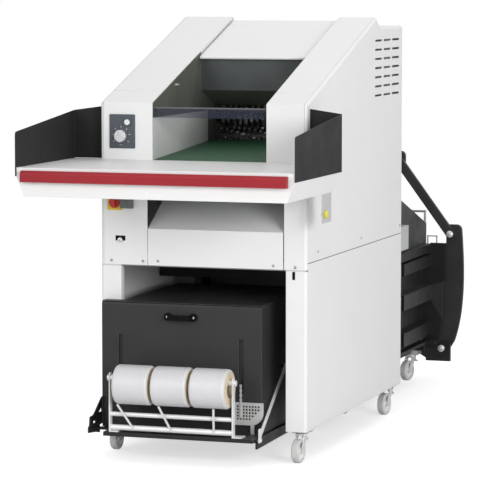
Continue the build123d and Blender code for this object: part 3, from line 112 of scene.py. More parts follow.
def make(name, colour, rough=0.5, metal=0.0, tint=0.06, tint_scale=5.0, rough_spread=0.08, grain=0.08,
         grain_scale=420.0, grain_depth=0.0004, stretch=None, edge=None, edge_radius=0.0018, coat=0.0,
         alpha=1.0, specular=0.5, floor_tint=0.0, smudge=0.0, low_colour=None, low_z=0.0, low_y=0.0):
    """Procedural finish: colour variation, roughness variation, fine grain and a painted highlight along
    rounded edges.

    floor_tint blends the lowest part above the floor towards a warm grey, darker towards the bottom on pale
    paint, smudge adds darker blotches, and low_colour takes over below low_z in front of low_y, where one
    sheet is painted in two colours.
    """
    material = bpy.data.materials.new(name)
    material.use_nodes = True
    tree = material.node_tree
    shader = tree.nodes["Principled BSDF"]
    coords = tree.nodes.new("ShaderNodeTexCoord").outputs["Object"]
    broad = noise(tree, coords, tint_scale, 4.0)
    colour_out = blend_colour(tree, remap(tree, broad, 0.3, 0.7, 0.0, 1.0), shade(colour, 1 - tint),
                              shade(colour, 1 + tint))
    if smudge:
        blotch = noise(tree, coords, tint_scale * 3.1, 8.0)
        colour_out = blend_colour(tree, remap(tree, blotch, 0.56, 0.72, 0.0, smudge), colour_out,
                                  shade(colour, 0.6))
    fine = noise(tree, coords, grain_scale, 2.0, stretch)
    # Blend towards a warm grey near the floor: darker towards the bottom on white paint, lighter on black
    if floor_tint:
        position = tree.nodes.new("ShaderNodeSeparateXYZ")
        link(tree, coords, position.inputs[0])
        low = remap(tree, position.outputs["Z"], 0.0, FLOOR_TINT_TOP, floor_tint, 0.0)
        colour_out = blend_colour(tree, low, colour_out, FLOOR_TINT_COLOUR)
    if low_colour:
        position = tree.nodes.new("ShaderNodeSeparateXYZ")
        link(tree, coords, position.inputs[0])
        below = remap(tree, position.outputs["Z"], low_z - SOFT, low_z + SOFT, 1.0, 0.0)
        before = remap(tree, position.outputs["Y"], low_y - SOFT, low_y + SOFT, 1.0, 0.0)
        area = tree.nodes.new("ShaderNodeMath")
        area.operation = "MULTIPLY"
        link(tree, below, area.inputs[0])
        link(tree, before, area.inputs[1])
        varied = blend_colour(tree, remap(tree, broad, 0.3, 0.7, 0.0, 1.0), shade(low_colour, 0.95),
                              shade(low_colour, 1.05))
        colour_out = blend_colour(tree, area.outputs[0], colour_out, varied)
    # Rounded edges blend to the edge colour: a painted highlight where it is lighter than the paint
    if edge:
        rounded = tree.nodes.new("ShaderNodeBevel")
        rounded.samples = 6
        rounded.inputs["Radius"].default_value = edge_radius
        geometry = tree.nodes.new("ShaderNodeNewGeometry")
        dot = tree.nodes.new("ShaderNodeVectorMath")
        dot.operation = "DOT_PRODUCT"
        link(tree, rounded.outputs[0], dot.inputs[0])
        link(tree, geometry.outputs["Normal"], dot.inputs[1])
        mask = remap(tree, dot.outputs["Value"], 0.995, 0.80, 0.0, 1.0)
        colour_out = blend_colour(tree, mask, colour_out, edge)
    link(tree, colour_out, shader.inputs["Base Color"])
    link(tree, remap(tree, noise(tree, coords, tint_scale * 2.3, 5.0), 0.3, 0.7, rough - rough_spread,
                     rough + rough_spread), shader.inputs["Roughness"])
    bump = tree.nodes.new("ShaderNodeBump")
    bump.inputs["Strength"].default_value = grain
    bump.inputs["Distance"].default_value = grain_depth
    link(tree, fine, bump.inputs["Height"])
    if edge:
        link(tree, rounded.outputs[0], bump.inputs["Normal"])
    link(tree, bump.outputs["Normal"], shader.inputs["Normal"])
    shader.inputs["Metallic"].default_value = metal
    shader.inputs["Specular IOR Level"].default_value = specular
    shader.inputs["Coat Weight"].default_value = coat
    shader.inputs["Coat Roughness"].default_value = 0.2
    shader.inputs["Alpha"].default_value = alpha
    return material


# Edge colours below that are lighter than their paint are painted highlights along rounded edges
white = make("casing white", (0.80, 0.805, 0.80), rough=0.42, tint=0.012, tint_scale=2.2, rough_spread=0.05,
             grain=0.06, grain_scale=520, edge=(0.86, 0.865, 0.86), edge_radius=0.003, floor_tint=0.12)
cheek_grey = make("cheek olive grey", (0.105, 0.110, 0.093), rough=0.5, tint=0.15, tint_scale=7, grain=0.12,
                  edge=(0.16, 0.16, 0.15), smudge=0.3, specular=0.3, low_colour=(0.58, 0.59, 0.58),
                  low_z=1.4235, low_y=-0.285)
# Lighter copy of the cheek olive for the down-facing throat ceiling: painted light where the lamps reach
# little
ceiling_painted_light = make("throat ceiling olive painted light", (0.17, 0.18, 0.155), rough=0.5, tint=0.10, tint_scale=6,
                    grain=0.12, smudge=0.25, specular=0.2)
back_grey = make("hopper back blue grey", (0.066, 0.073, 0.074), rough=0.48, tint=0.10, tint_scale=6,
                 grain=0.12, edge=(0.2, 0.21, 0.22), smudge=0.25, specular=0.3)
frame_grey = make("frame paint", (0.16, 0.165, 0.17), rough=0.5, tint=0.1, grain=0.15,
                  edge=(0.28, 0.28, 0.28))
clear = make("clear strip", (0.045, 0.052, 0.08), rough=0.16, tint=0.06, rough_spread=0.04, grain=0.02,
             alpha=0.36, specular=0.15)
# Lighter, less clear colour on the strip's cut edges: a painted highlight
clear_edge_highlight = make("clear strip edge highlight", (0.20, 0.21, 0.25), rough=0.25, tint=0.04, grain=0.03, alpha=0.8)
steel = make("plain steel", (0.48, 0.48, 0.47), rough=0.32, metal=1.0, tint=0.08, grain=0.2, grain_scale=260,
             stretch=(1.0, 0.05, 1.0))
tooth_steel = make("cutter steel", (0.13, 0.13, 0.125), rough=0.38, metal=0.8, tint=0.2, tint_scale=30,
                   grain=0.2)
# Light steel on the tooth tips is a painted highlight
tooth_tip_highlight = make("cutter tooth tip highlight", (0.62, 0.62, 0.60), rough=0.28, metal=0.7, tint=0.12, tint_scale=60,
                 grain=0.15)
red = make("stop bar red", (0.30, 0.013, 0.021), rough=0.46, tint=0.05, tint_scale=4, grain=0.08,
           edge=(0.60, 0.12, 0.13), edge_radius=0.0025, specular=0.3)
charcoal = make("charcoal powder coat", (0.031, 0.031, 0.0325), rough=0.5, tint=0.08, tint_scale=3,
                grain=0.22, grain_scale=600, edge=(0.10, 0.10, 0.105), edge_radius=0.003, smudge=0.15,
                specular=0.25)
plate_dark = make("control plate", (0.055, 0.066, 0.082), rough=0.38, tint=0.06, tint_scale=14, grain=0.1,
                  edge=(0.15, 0.17, 0.19), edge_radius=0.001)
silver = make("knob silver", (0.60, 0.61, 0.62), rough=0.33, metal=0.75, tint=0.05, tint_scale=40,
              grain=0.12, edge=(0.78, 0.78, 0.78), edge_radius=0.001)
silver_white = make("button silver white", (0.76, 0.77, 0.78), rough=0.3, metal=0.2, tint=0.04,
                    tint_scale=40, grain=0.06, coat=0.3)
joint_grey = make("joint pale grey", (0.55, 0.55, 0.55), rough=0.5, tint=0.05, tint_scale=12, grain=0.1)
seam_grey = make("seam shadow grey", (0.07, 0.07, 0.072), rough=0.6, tint=0.1, tint_scale=12, grain=0.1)
knob_yellow = make("knob yellow", (0.72, 0.66, 0.06), rough=0.4, tint=0.06, tint_scale=40, grain=0.1,
                   edge=(0.82, 0.78, 0.2), edge_radius=0.001)
yellow = make("switch yellow", (0.70, 0.50, 0.03), rough=0.42, tint=0.07, tint_scale=20, grain=0.1,
              edge=(0.80, 0.62, 0.12), edge_radius=0.001)
switch_red = make("switch red", (0.52, 0.025, 0.018), rough=0.4, tint=0.07, tint_scale=25, grain=0.1,
                  edge=(0.62, 0.09, 0.06), edge_radius=0.001)
housing_grey = make("switch housing", (0.12, 0.125, 0.13), rough=0.45, tint=0.08, tint_scale=18, grain=0.12,
                    edge=(0.25, 0.25, 0.25), edge_radius=0.001)
zinc = make("zinc plate", (0.74, 0.75, 0.76), rough=0.33, metal=0.6, tint=0.09, tint_scale=28, grain=0.15,
            grain_scale=180, edge=(0.80, 0.80, 0.80), edge_radius=0.001, smudge=0.2)
# Darkened zinc for the caster pads: painted shade below the white legs; its light edges are a painted
# highlight
caster_zinc_painted_shade = make("caster plate zinc painted shade", (0.26, 0.26, 0.265), rough=0.38, metal=0.7, tint=0.12, tint_scale=28,
                 grain=0.2, grain_scale=180, edge=(0.6, 0.6, 0.6), edge_radius=0.001, smudge=0.2)
bow_zinc = make("bow handle zinc", (0.36, 0.36, 0.365), rough=0.35, metal=0.6, tint=0.08, tint_scale=28,
                grain=0.15, grain_scale=180)
screw_steel = make("screw steel", (0.38, 0.38, 0.38), rough=0.38, metal=0.6, tint=0.1, tint_scale=60,
                   grain=0.15, edge=(0.45, 0.45, 0.45), edge_radius=0.0006)
rod_grey = make("flap rod grey", (0.10, 0.10, 0.11), rough=0.35, metal=0.2, tint=0.08, tint_scale=20,
                grain=0.12, specular=0.3)
tread = make("tread grey", (0.60, 0.60, 0.59), rough=0.62, tint=0.1, tint_scale=22, grain=0.3,
             grain_scale=300, smudge=0.35)
hub = make("hub pale", (0.76, 0.76, 0.75), rough=0.45, tint=0.06, tint_scale=22, grain=0.12,
           edge=(0.68, 0.68, 0.66), edge_radius=0.001, smudge=0.2)
guard_coat = make("guard powder coat", (0.022, 0.022, 0.0235), rough=0.55, tint=0.08, tint_scale=3,
                  grain=0.22, grain_scale=600, edge=(0.075, 0.075, 0.08), edge_radius=0.002, smudge=0.15,
                  specular=0.1)
black = make("black paint", (0.012, 0.012, 0.0125), rough=0.42, tint=0.15, tint_scale=5, grain=0.2,
             grain_scale=300, edge=(0.055, 0.055, 0.057), edge_radius=0.002, smudge=0.1, floor_tint=0.04,
             specular=0.28)
press_grey = make("press dark grey", (0.030, 0.030, 0.031), rough=0.45, tint=0.15, tint_scale=5, grain=0.2,
                  grain_scale=300, edge=(0.08, 0.08, 0.082), edge_radius=0.002, smudge=0.15, specular=0.3)
black_plastic = make("black plastic", (0.006, 0.006, 0.0065), rough=0.34, tint=0.1, tint_scale=30, grain=0.12,
                     edge=(0.03, 0.03, 0.03), edge_radius=0.0012, specular=0.06)
bright_pin = make("bright pin heads", (0.80, 0.80, 0.79), rough=0.28, metal=0.6, tint=0.05, tint_scale=60,
                  grain=0.1, edge=(0.88, 0.88, 0.87), edge_radius=0.0012)
stay_zinc = make("stay zinc", (0.80, 0.80, 0.80), rough=0.36, metal=0.2, tint=0.05, tint_scale=16,
                 grain=0.15, grain_scale=180, edge=(0.86, 0.86, 0.86), edge_radius=0.001, smudge=0.1)
bracket_grey = make("bracket grey", (0.50, 0.50, 0.50), rough=0.45, tint=0.04, tint_scale=12, grain=0.1,
                    edge=(0.74, 0.74, 0.74), edge_radius=0.0012)
box_grey = make("side box grey", (0.50, 0.51, 0.52), rough=0.45, tint=0.04, tint_scale=10, grain=0.1,
                edge=(0.62, 0.62, 0.62))
guard_grey = make("guard grey", (0.56, 0.56, 0.55), rough=0.42, metal=0.3, tint=0.06, tint_scale=18,
                  grain=0.12, edge=(0.7, 0.7, 0.7), edge_radius=0.0008)
cream = make("roll side cream", (0.66, 0.56, 0.40), rough=0.55, tint=0.1, tint_scale=30, grain=0.2,
             grain_scale=500, smudge=0.2)


BAND_SCALE = 0.314                            # the band texture repeats every 0.314 / scale metres


def striped(name, colour, axis, pitch, depth, rough=0.4, contrast=0.1, strength=0.4, **more):
    """Finish with fine lines across one axis, such as wound strapping or a woven belt."""
    material = make(name, colour, rough=rough, **more)
    tree = material.node_tree
    shader = tree.nodes["Principled BSDF"]
    coords = tree.nodes.new("ShaderNodeTexCoord").outputs["Object"]
    wave = tree.nodes.new("ShaderNodeTexWave")
    wave.wave_type = "BANDS"
    wave.bands_direction = axis
    wave.inputs["Scale"].default_value = BAND_SCALE / pitch
    wave.inputs["Distortion"].default_value = 0.8
    wave.inputs["Detail"].default_value = 2.0
    link(tree, coords, wave.inputs["Vector"])
    old = shader.inputs["Base Color"].links[0].from_socket
    factor = remap(tree, wave.outputs["Fac"], 0.0, 1.0, 0.0, contrast)
    link(tree, blend_colour(tree, factor, old, shade(colour, 0.55)), shader.inputs["Base Color"])
    bump = tree.nodes.new("ShaderNodeBump")
    bump.inputs["Strength"].default_value = strength
    bump.inputs["Distance"].default_value = depth
    link(tree, wave.outputs["Fac"], bump.inputs["Height"])
    link(tree, shader.inputs["Normal"].links[0].from_socket, bump.inputs["Normal"])
    link(tree, bump.outputs["Normal"], shader.inputs["Normal"])
    return material


roll_white = striped("strapping white", (0.70, 0.70, 0.715), "X", 0.006, 0.0006, rough=0.38, contrast=0.10,
                     strength=0.35, tint=0.03, tint_scale=9, grain=0.1)
belt_green = striped("belt green", (0.014, 0.072, 0.030), "Y", 0.010, 0.0006, rough=0.62, contrast=0.35,
                     strength=0.5, tint=0.18, tint_scale=20, grain=0.4, grain_scale=700)


def dress(name, *materials, rule=None):
    """Gives a CAD node its materials; the rule picks one for each face from its centre and normal."""
    mesh = nodes[name].data
    mesh.materials.clear()
    for material in materials:
        mesh.materials.append(material)
    if rule:
        for face in mesh.polygons:
            face.material_index = rule(face.center, face.normal)
    else:
        mesh.polygons.foreach_set("material_index", [0] * len(mesh.polygons))


def axle_distance(centre, axis, point):
    """Distance of a point from an axis through centre."""
    axis = Vector(axis).normalized()
    offset = Vector(point) - Vector(centre)
    return (offset - axis * offset.dot(axis)).length


# Each rule below returns the place of a face's material in the list given to dress
CASTER_PAD_TOP = 0.1279


def stand_rule(c, n):
    """Caster pads below the white stand, darkened as painted shade below the legs."""
    return 1 if c.z < CASTER_PAD_TOP else 0


SWITCH_BACK_Y = -1.0002
SWITCH_HOUSING_X = -0.3555


def front_left_rule(c, n):
    """Main switch plate and its side housing on the white panel."""
    if c.y > SWITCH_BACK_Y:
        return 0
    return 2 if c.x > SWITCH_HOUSING_X else 1


GROOVE_Y = -0.870
GROOVE_HALF = 0.004
RIM_SLOPE = 0.32234
RIM_Z = (1.52, 1.5294)


def hood_rule(c, n):
    """Shaded seam across each raised column, below the slanted rim."""
    rim = RIM_Z[1] + RIM_SLOPE * (c.y - GROOVE_Y)
    in_groove = abs(c.y - GROOVE_Y) < GROOVE_HALF and abs(n.x) < 0.5
    return 1 if in_groove and RIM_Z[0] < c.z < rim else 0


STUB_X, STUB_Y, STUB_Z = 0.5535, -1.05, 1.075
BRACKET_Y, BRACKET_Z = -1.115, 1.129


def table_rule(c, n):
    """Knob stub and bracket below the right end of the table."""
    if c.x > STUB_X and c.z < STUB_Z and c.y < STUB_Y:
        return 1
    return 2 if c.z < BRACKET_Z and c.y > BRACKET_Y else 0


def hopper_rule(c, n):
    """Cheeks face sideways, the ceiling of the throat faces down and takes a lighter olive as painted light,
    the rest is the back wall.
    """
    if abs(n.x) > 0.7:
        return 0
    return 2 if n.z < -0.3 else 1


FLAP_ROD_Z = 1.461


def flap_rule(c, n):
    """Rod of the clear flap, and its cut edges with a painted highlight."""
    if c.z > FLAP_ROD_Z:
        return 2
    return 1 if abs(n.z) > 0.8 else 0


BAR_PIN_Y = -1.6035


def bar_rule(c, n):
    """Steel pins behind the red bar."""
    return 1 if c.y > BAR_PIN_Y else 0


SQUEEZE_OUT_X = 0.27
SQUEEZE_FROM_Y = 1.03
SQUEEZE_Z = (0.38, 0.50)


def squeeze_rule(c, n):
    """Middle rib of each swinging wall, lit more than the rest."""
    outer = abs(c.x - CHANNEL_X) > SQUEEZE_OUT_X and c.y > SQUEEZE_FROM_Y
    return 1 if outer and SQUEEZE_Z[0] < c.z < SQUEEZE_Z[1] else 0


RAM_HEAD_Y = -0.31


def ram_rule(c, n):
    """Rod and piston in front of the ram's plate."""
    return 1 if c.y < RAM_HEAD_Y else 0


STAY_X = (0.2905, 0.2965)
STAY_FOOT_Z = 0.13


def base_rule(c, n):
    """Bright stay on the right of the black base."""
    inner, outer = STAY_X
    return 1 if c.x > outer or c.x > inner and (n.x < 0.5 or c.z > STAY_FOOT_Z) else 0


BOLT_X = (-0.132, -0.020)
BOLT_Y = (-1.0727, -1.0684)
BOLT_Z = 0.598
BOLT_RADIUS = 0.0064


def handle_rule(c, n):
    """Bolt heads in the feet of the black bow handle."""
    near = min(math.hypot(c.x - x, c.z - BOLT_Z) for x in BOLT_X) < BOLT_RADIUS
    return 1 if near and BOLT_Y[0] < c.y < BOLT_Y[1] else 0


ROOF_TOP_Z = 0.6872
BOW_FOOT_Z = 0.69


def roof_rule(c, n):
    """Small bow handle on the black roof of the channel."""
    return 1 if c.z > ROOF_TOP_Z and abs(n.z) < 0.99 or c.z > BOW_FOOT_Z else 0


ROLL_CORE = 0.06


def roll_rule(c, n):
    """Cream side faces and bore of a strapping roll."""
    return 1 if abs(n.x) > 0.9 or axle_distance(ROLL_AXIS, (1, 0, 0), c) < ROLL_CORE else 0


PIN_BETWEEN_Y = (1.5825, 1.6055)
PIN_RADIUS = 0.0175


def pin_rule(pins):
    """Pin ends in front of and behind the plates that they join."""
    def rule(c, n):
        near = min(math.hypot(c.x - x, c.z - z) for x, z in pins) < PIN_RADIUS
        return 1 if near and not PIN_BETWEEN_Y[0] <= c.y <= PIN_BETWEEN_Y[1] else 0
    return rule


LIFT_ROD_RADIUS = 0.016
LIFT_ROD_Z = (0.9, 1.045)


def crosshead_rule(c, n):
    """Pins at both ends and the bright rod of the lifting cylinder below the middle."""
    if LIFT_ROD_Z[0] < c.z < LIFT_ROD_Z[1] and abs(c.x - CHANNEL_X) < LIFT_ROD_RADIUS:
        return 1
    return pin_rule(HEAD_PINS.values())(c, n)


SIDE_BOX_X, SIDE_BOX_Y = 0.301, 1.09
BOW_X, BOW_LOW_Z = 0.12, 0.772
BOW_Y = (1.544, 1.5575)
HOUSING_END_Y, HOUSING_TOP_Z = 1.5, 0.9


def housing_rule(c, n):
    """Side box, large bow handle and the side sheets of the top housing."""
    if c.x > SIDE_BOX_X and c.y < SIDE_BOX_Y:
        return 1
    if BOW_Y[0] < c.y < BOW_Y[1] and c.x > BOW_X and c.z > BOW_LOW_Z and abs(n.x) < 0.999:
        return 2
    return 3 if abs(n.x) > 0.9 and c.y < HOUSING_END_Y and c.z < HOUSING_TOP_Z else 0


FIXED_CASTERS = [(x, y) for y in (-0.225, 0.33) for x in (-0.172, 0.228)]
CASTER_REACH = (0.036, 0.06)                  # a fixed caster's half width and half length
WHEEL_HALF = 0.0155
FORK_TOP = 0.1335
PAD_TOP = 0.1515                              # pads of the rear pair of baler casters
PAD_MIDDLE = (0.212, 1.5)
PAD_HALF = 0.0425
LOW_PIN_RADIUS = 0.0185
LOW_PIN_FRONT = (1.5495, 1.5592)


def underframe_rule(c, n):
    """Lower pins, caster pads and the two fixed pairs of casters."""
    across = abs(c.x - CHANNEL_X)
    pin_x, pin_z = LOW_PINS["right"]
    if math.hypot(across - (pin_x - CHANNEL_X), c.z - pin_z) < LOW_PIN_RADIUS:
        if c.y > PIN_BETWEEN_Y[1] or LOW_PIN_FRONT[0] < c.y < LOW_PIN_FRONT[1]:
            return 1
    if c.z < PAD_TOP and abs(c.y - PAD_MIDDLE[1]) < PAD_HALF and abs(across - PAD_MIDDLE[0]) < PAD_HALF:
        return 1
    near = [axle_distance((x, y, CASTER_RADIUS), (1, 0, 0), c) for x, y in FIXED_CASTERS
            if abs(c.x - x) < CASTER_REACH[0] and abs(c.y - y) < CASTER_REACH[1]]
    if not near or c.z > FORK_TOP:
        return 0
    wheel = min(abs(c.x - x) for x, y in FIXED_CASTERS) < WHEEL_HALF
    if wheel and min(near) < CASTER_RADIUS + 0.001:
        return 2 if min(near) > TREAD_RADIUS else 3
    return 1


TOOTH_FOOT = 0.0525                           # radius from which a cutter's teeth take the painted highlight


# Tooth faces beyond TOOTH_FOOT get the painted highlight
def toothed_rule(z):
    return lambda c, n: 1 if math.hypot(c.y - CUTTER_Y, c.z - z) > TOOTH_FOOT else 0


def wheel_rule(joint):
    return lambda c, n: 0 if axle_distance(joint["pos_m"], joint["axis"], c) > TREAD_RADIUS else 1


PLAIN = (
    (white, ("side_panel_right", "side_panel_left", "hood_centre_panel", "rear_panel", "front_panel_centre")),
    (frame_grey, ("machine_frame",)),
    (belt_green, ("conveyor_belt",)),
    (steel, ("belt_roller",)),
    (guard_coat, ("guard_right", "guard_left")),
    (plate_dark, ("control_plate",)),
    (silver, ("selector_knob",)),
    (silver_white, ("push_button",)),
    (switch_red, ("main_switch_handle",)),
    (black, ("ram_cylinder", "feed_chute", "press_channel")),
    (charcoal, ("front_cover",)),
    (stay_zinc, ("roll_holder",)),
    (roll_white, ("strap_ends",)),
    (guard_grey, ("chain_guard",)),
    (press_grey, ("link_right", "link_left")),
)
for material, names in PLAIN:
    for name in names:
        dress(name, material)

dress("front_panel_left", white, yellow, housing_grey, rule=front_left_rule)
dress("feed_table", white, black_plastic, bracket_grey, rule=table_rule)
dress("hopper_liner", cheek_grey, back_grey, ceiling_painted_light, rule=hopper_rule)
dress("feed_flap", clear, clear_edge_highlight, rod_grey, rule=flap_rule)
dress("stop_bar", red, steel, rule=bar_rule)
dress("press_ram", black, steel, rule=ram_rule)
dress("base_frame", black, stay_zinc, rule=base_rule)
dress("cover_handle", black_plastic, bright_pin, rule=handle_rule)
dress("channel_roof", black, bow_zinc, rule=roof_rule)
dress("crosshead", press_grey, bright_pin, rule=crosshead_rule)
dress("channel_underframe", black, zinc, tread, hub, rule=underframe_rule)
dress("top_housing", black, box_grey, bow_zinc, press_grey, rule=housing_rule)
for side, tag in SIDES:
    dress("stand_side_" + tag, white, caster_zinc_painted_shade, rule=stand_rule)
    dress("hood_%s_panel" % tag, white, seam_grey, rule=hood_rule)
    dress("squeeze_flap_" + tag, black, press_grey, rule=squeeze_rule)
    dress("yoke_" + tag, press_grey, bright_pin, rule=pin_rule([YOKE_PINS[tag]]))
for name, z in CUTTERS:
    dress(name, tooth_steel, tooth_tip_highlight, rule=toothed_rule(z))
for index in range(3):
    dress("strap_roll_%d" % (index + 1), roll_white, cream, rule=roll_rule)
for joint in frame["joints"]:
    node_name = joint["child"].removesuffix("_body")
    if joint["name"].startswith(("caster_roll_", "baler_roll_")):
        dress(node_name, tread, hub, rule=wheel_rule(joint))
    if joint["name"].startswith(("caster_swivel_", "baler_swivel_")):
        dress(node_name, zinc)


# Added pieces
def piece_from(name, mesh_builder, material, body=BASE, bevel=0.0, smooth=False):
    """Makes an object of what the builder adds to an empty mesh, and lets it ride its body."""
    mesh = bpy.data.meshes.new(name)
    work = bmesh.new()
    mesh_builder(work)
    bmesh.ops.recalc_face_normals(work, faces=work.faces)
    if bevel:
        bmesh.ops.bevel(work, geom=list(work.edges), offset=bevel, segments=3, profile=0.6,
                        affect="EDGES", clamp_overlap=True)
    work.to_mesh(mesh)
    work.free()
    for face in mesh.polygons:
        face.use_smooth = smooth
    obj = bpy.data.objects.new(name, mesh)
    bpy.context.scene.collection.objects.link(obj)
    mesh.materials.append(material)
    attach(obj, body)
    return obj


def join_rings(work, rings, steps):
    """Closes neighbouring rings of vertices with faces; a ring of one vertex is a tip."""
    for first, second in zip(rings, rings[1:]):
        for step in range(steps):
            other = (step + 1) % steps
            if len(first) == 1:
                work.faces.new((first[0], second[step], second[other]))
            elif len(second) == 1:
                work.faces.new((first[step], second[0], first[other]))
            else:
                work.faces.new((first[step], second[step], second[other], first[other]))


def turned(profile, origin, axis, steps=32):
    """Builder of a lathed form: the profile lists (radius, distance along the axis)."""
    axis = Vector(axis).normalized()
    side = axis.orthogonal().normalized()
    across = axis.cross(side)

    def build(work):
        rings = []
        for radius, along in profile:
            foot = Vector(origin) + axis * along
            if radius < 1e-6:
                rings.append([work.verts.new(foot)])
                continue
            ring = []
            for step in range(steps):
                angle = 2 * math.pi * step / steps
                ring.append(work.verts.new(foot + side * radius * math.cos(angle)
                                           + across * radius * math.sin(angle)))
            rings.append(ring)
        join_rings(work, rings, steps)
    return build


def add_box(work, low, high):
    """Adds a box between two corners and returns its vertices and centre."""
    made = bmesh.ops.create_cube(work, size=1.0)
    size = Vector(high) - Vector(low)
    centre = (Vector(high) + Vector(low)) / 2
    for vert in made["verts"]:
        vert.co = Vector((vert.co.x * size.x, vert.co.y * size.y, vert.co.z * size.z)) + centre
    return made["verts"], centre


def brick(low, high):
    def build(work):
        add_box(work, low, high)
    return build


# Panel screws: domed heads with a small rim, listed as (radius, height)
SCREW_HEAD = [(0, 0.0034), (0.0026, 0.0032), (0.0052, 0.0022), (0.0062, 0.0010), (0.0064, 0.0),
              (0.0064, -0.001), (0, -0.001)]
SCREW_STEPS = 20
FRONT_SCREWS = ((-0.407, 0.821), (-0.266, 0.821), (-0.199, 0.823), (0.309, 0.819), (0.404, 0.815))
SIDE_SCREW_Y = (-0.840, -0.183, 0.467)
REAR_SCREW_X = (-0.38, -0.13, 0.13, 0.38)
LOW_ROW_Z = 0.868
HIGH_ROW_Z = 1.740


def screw(name, place, out):
    piece_from(name, turned(SCREW_HEAD, place, out, SCREW_STEPS), screw_steel, smooth=True)


for index, (x, z) in enumerate(FRONT_SCREWS):
    screw("front_screw_%d" % (index + 1), (x, FRONT_Y, z), (0, -1, 0))
for side, tag in SIDES:
    for index, y in enumerate(SIDE_SCREW_Y):
        screw("side_screw_%s_%d" % (tag, index + 1), (side * SIDE_X, y, LOW_ROW_Z), (side, 0, 0))
for index, x in enumerate(REAR_SCREW_X):
    screw("rear_screw_low_%d" % (index + 1), (x, REAR_Y, LOW_ROW_Z), (0, 1, 0))
    screw("rear_screw_high_%d" % (index + 1), (x, REAR_Y, HIGH_ROW_Z), (0, 1, 0))

# Ticks round the selector and a small green sign below it
tick_white = make("tick white", (0.62, 0.64, 0.66), rough=0.5, tint=0.05, tint_scale=60, grain=0.05)
sign_green = make("sign green", (0.16, 0.30, 0.12), rough=0.5, tint=0.08, tint_scale=60, grain=0.05)
TICK_ANGLES = (-125, -80, -40, 0, 40, 80, 125)
TICK_CIRCLE = 0.0385
TICK_HALF_LENGTH = 0.0042
TICK_HALF_WIDTH = 0.0009
PRINT_DEPTH = 0.0006
SIGN_Z = 1.3105
SIGN_OUTLINE = ((-0.008, 0.0), (0.008, 0.0), (0.008, -0.003), (0.002, -0.003), (0.0, -0.008),
                (-0.002, -0.003), (-0.008, -0.003))
BOX_FACES = ((0, 1, 2, 3), (7, 6, 5, 4), (0, 4, 5, 1), (1, 5, 6, 2), (2, 6, 7, 3), (3, 7, 4, 0))


def tick(degrees):
    turn = math.radians(degrees)
    outward = Vector((math.sin(turn), 0, math.cos(turn)))
    across = outward.cross(Vector((0, 1, 0)))
    middle = Vector(SELECTOR) + outward * TICK_CIRCLE

    def build(work):
        corners = []
        for depth in (0.0, -PRINT_DEPTH):
            for a, b in ((-1, -1), (1, -1), (1, 1), (-1, 1)):
                corners.append(work.verts.new(middle + outward * TICK_HALF_LENGTH * a
                                              + across * TICK_HALF_WIDTH * b + Vector((0, depth, 0))))
        for face in BOX_FACES:
            work.faces.new([corners[k] for k in face])
    return build


def sign(work):
    rings = [[work.verts.new((SELECTOR[0] + x, PLATE_Y - depth, SIGN_Z + z)) for x, z in SIGN_OUTLINE]
             for depth in (0.0, PRINT_DEPTH)]
    work.faces.new(rings[0])
    work.faces.new(rings[1][::-1])
    join_rings(work, rings, len(SIGN_OUTLINE))


for index, degrees in enumerate(TICK_ANGLES):
    piece_from("selector_tick_%d" % (index + 1), tick(degrees), tick_white)
piece_from("selector_sign", sign, sign_green)

# Knurled yellow knob on the table bracket: rings of (radius, distance from the bracket's end face)
KNOB_RINGS = ((0.0, 0.0), (0.0142, 0.0), (0.0152, 0.0015), (0.0152, 0.0095), (0.0138, 0.0118), (0.0, 0.0124))
KNOB_STEPS = 48
KNURLS = 12
KNURL_DEPTH = 0.035


def knob(work):
    rings = []
    for radius, along in KNOB_RINGS:
        depth = KNURL_DEPTH if 0.001 < along < 0.011 else 0
        ring = []
        for step in range(KNOB_STEPS if radius else 1):
            angle = 2 * math.pi * step / KNOB_STEPS
            wave = radius * (1 + depth * math.cos(angle * KNURLS))
            ring.append(work.verts.new((BRACKET_FACE_X + along, YELLOW_KNOB[0] + wave * math.cos(angle),
                                        YELLOW_KNOB[1] + wave * math.sin(angle))))
        rings.append(ring)
    join_rings(work, rings, KNOB_STEPS)


piece_from("bracket_knob", knob, knob_yellow, smooth=True)

# Domed heads on the pins of the squeeze linkage, listed as (radius, height)
PIN_HEAD = [(0, 0.0085), (0.0045, 0.0080), (0.0062, 0.0055), (0.0118, 0.0050), (0.0142, 0.0035),
            (0.0150, 0.0), (0, 0.0)]
PIN_STEPS = 24
for place, pins, body in (("yoke", YOKE_PINS, "yoke_SIDE_body"), ("head", HEAD_PINS, "crosshead_body"),
                          ("low", LOW_PINS, BASE)):
    for side, tag in SIDES:
        x, z = pins[tag]
        cap = turned(PIN_HEAD, (x, PIN_FACE_Y, z), (0, -1, 0), PIN_STEPS)
        piece_from("pin_cap_%s_%s" % (place, tag), cap, bright_pin, body=body.replace("SIDE", tag))

# Sealing strips at the swinging walls: corners for the right side, X from the channel's middle
SEALS = (("ear_seal", (0.264, 1.538, 0.6384), (0.378, 1.546, 0.6402)),
         ("sill_bar", (0.2626, 1.460, 0.1870), (0.344, 1.548, 0.2014)))
for side, tag in SIDES:
    for place, low, high in SEALS:
        near, far = sorted((CHANNEL_X + side * low[0], CHANNEL_X + side * high[0]))
        piece_from("%s_%s" % (place, tag), brick((near, *low[1:]), (far, *high[1:])), black, bevel=0.0004)

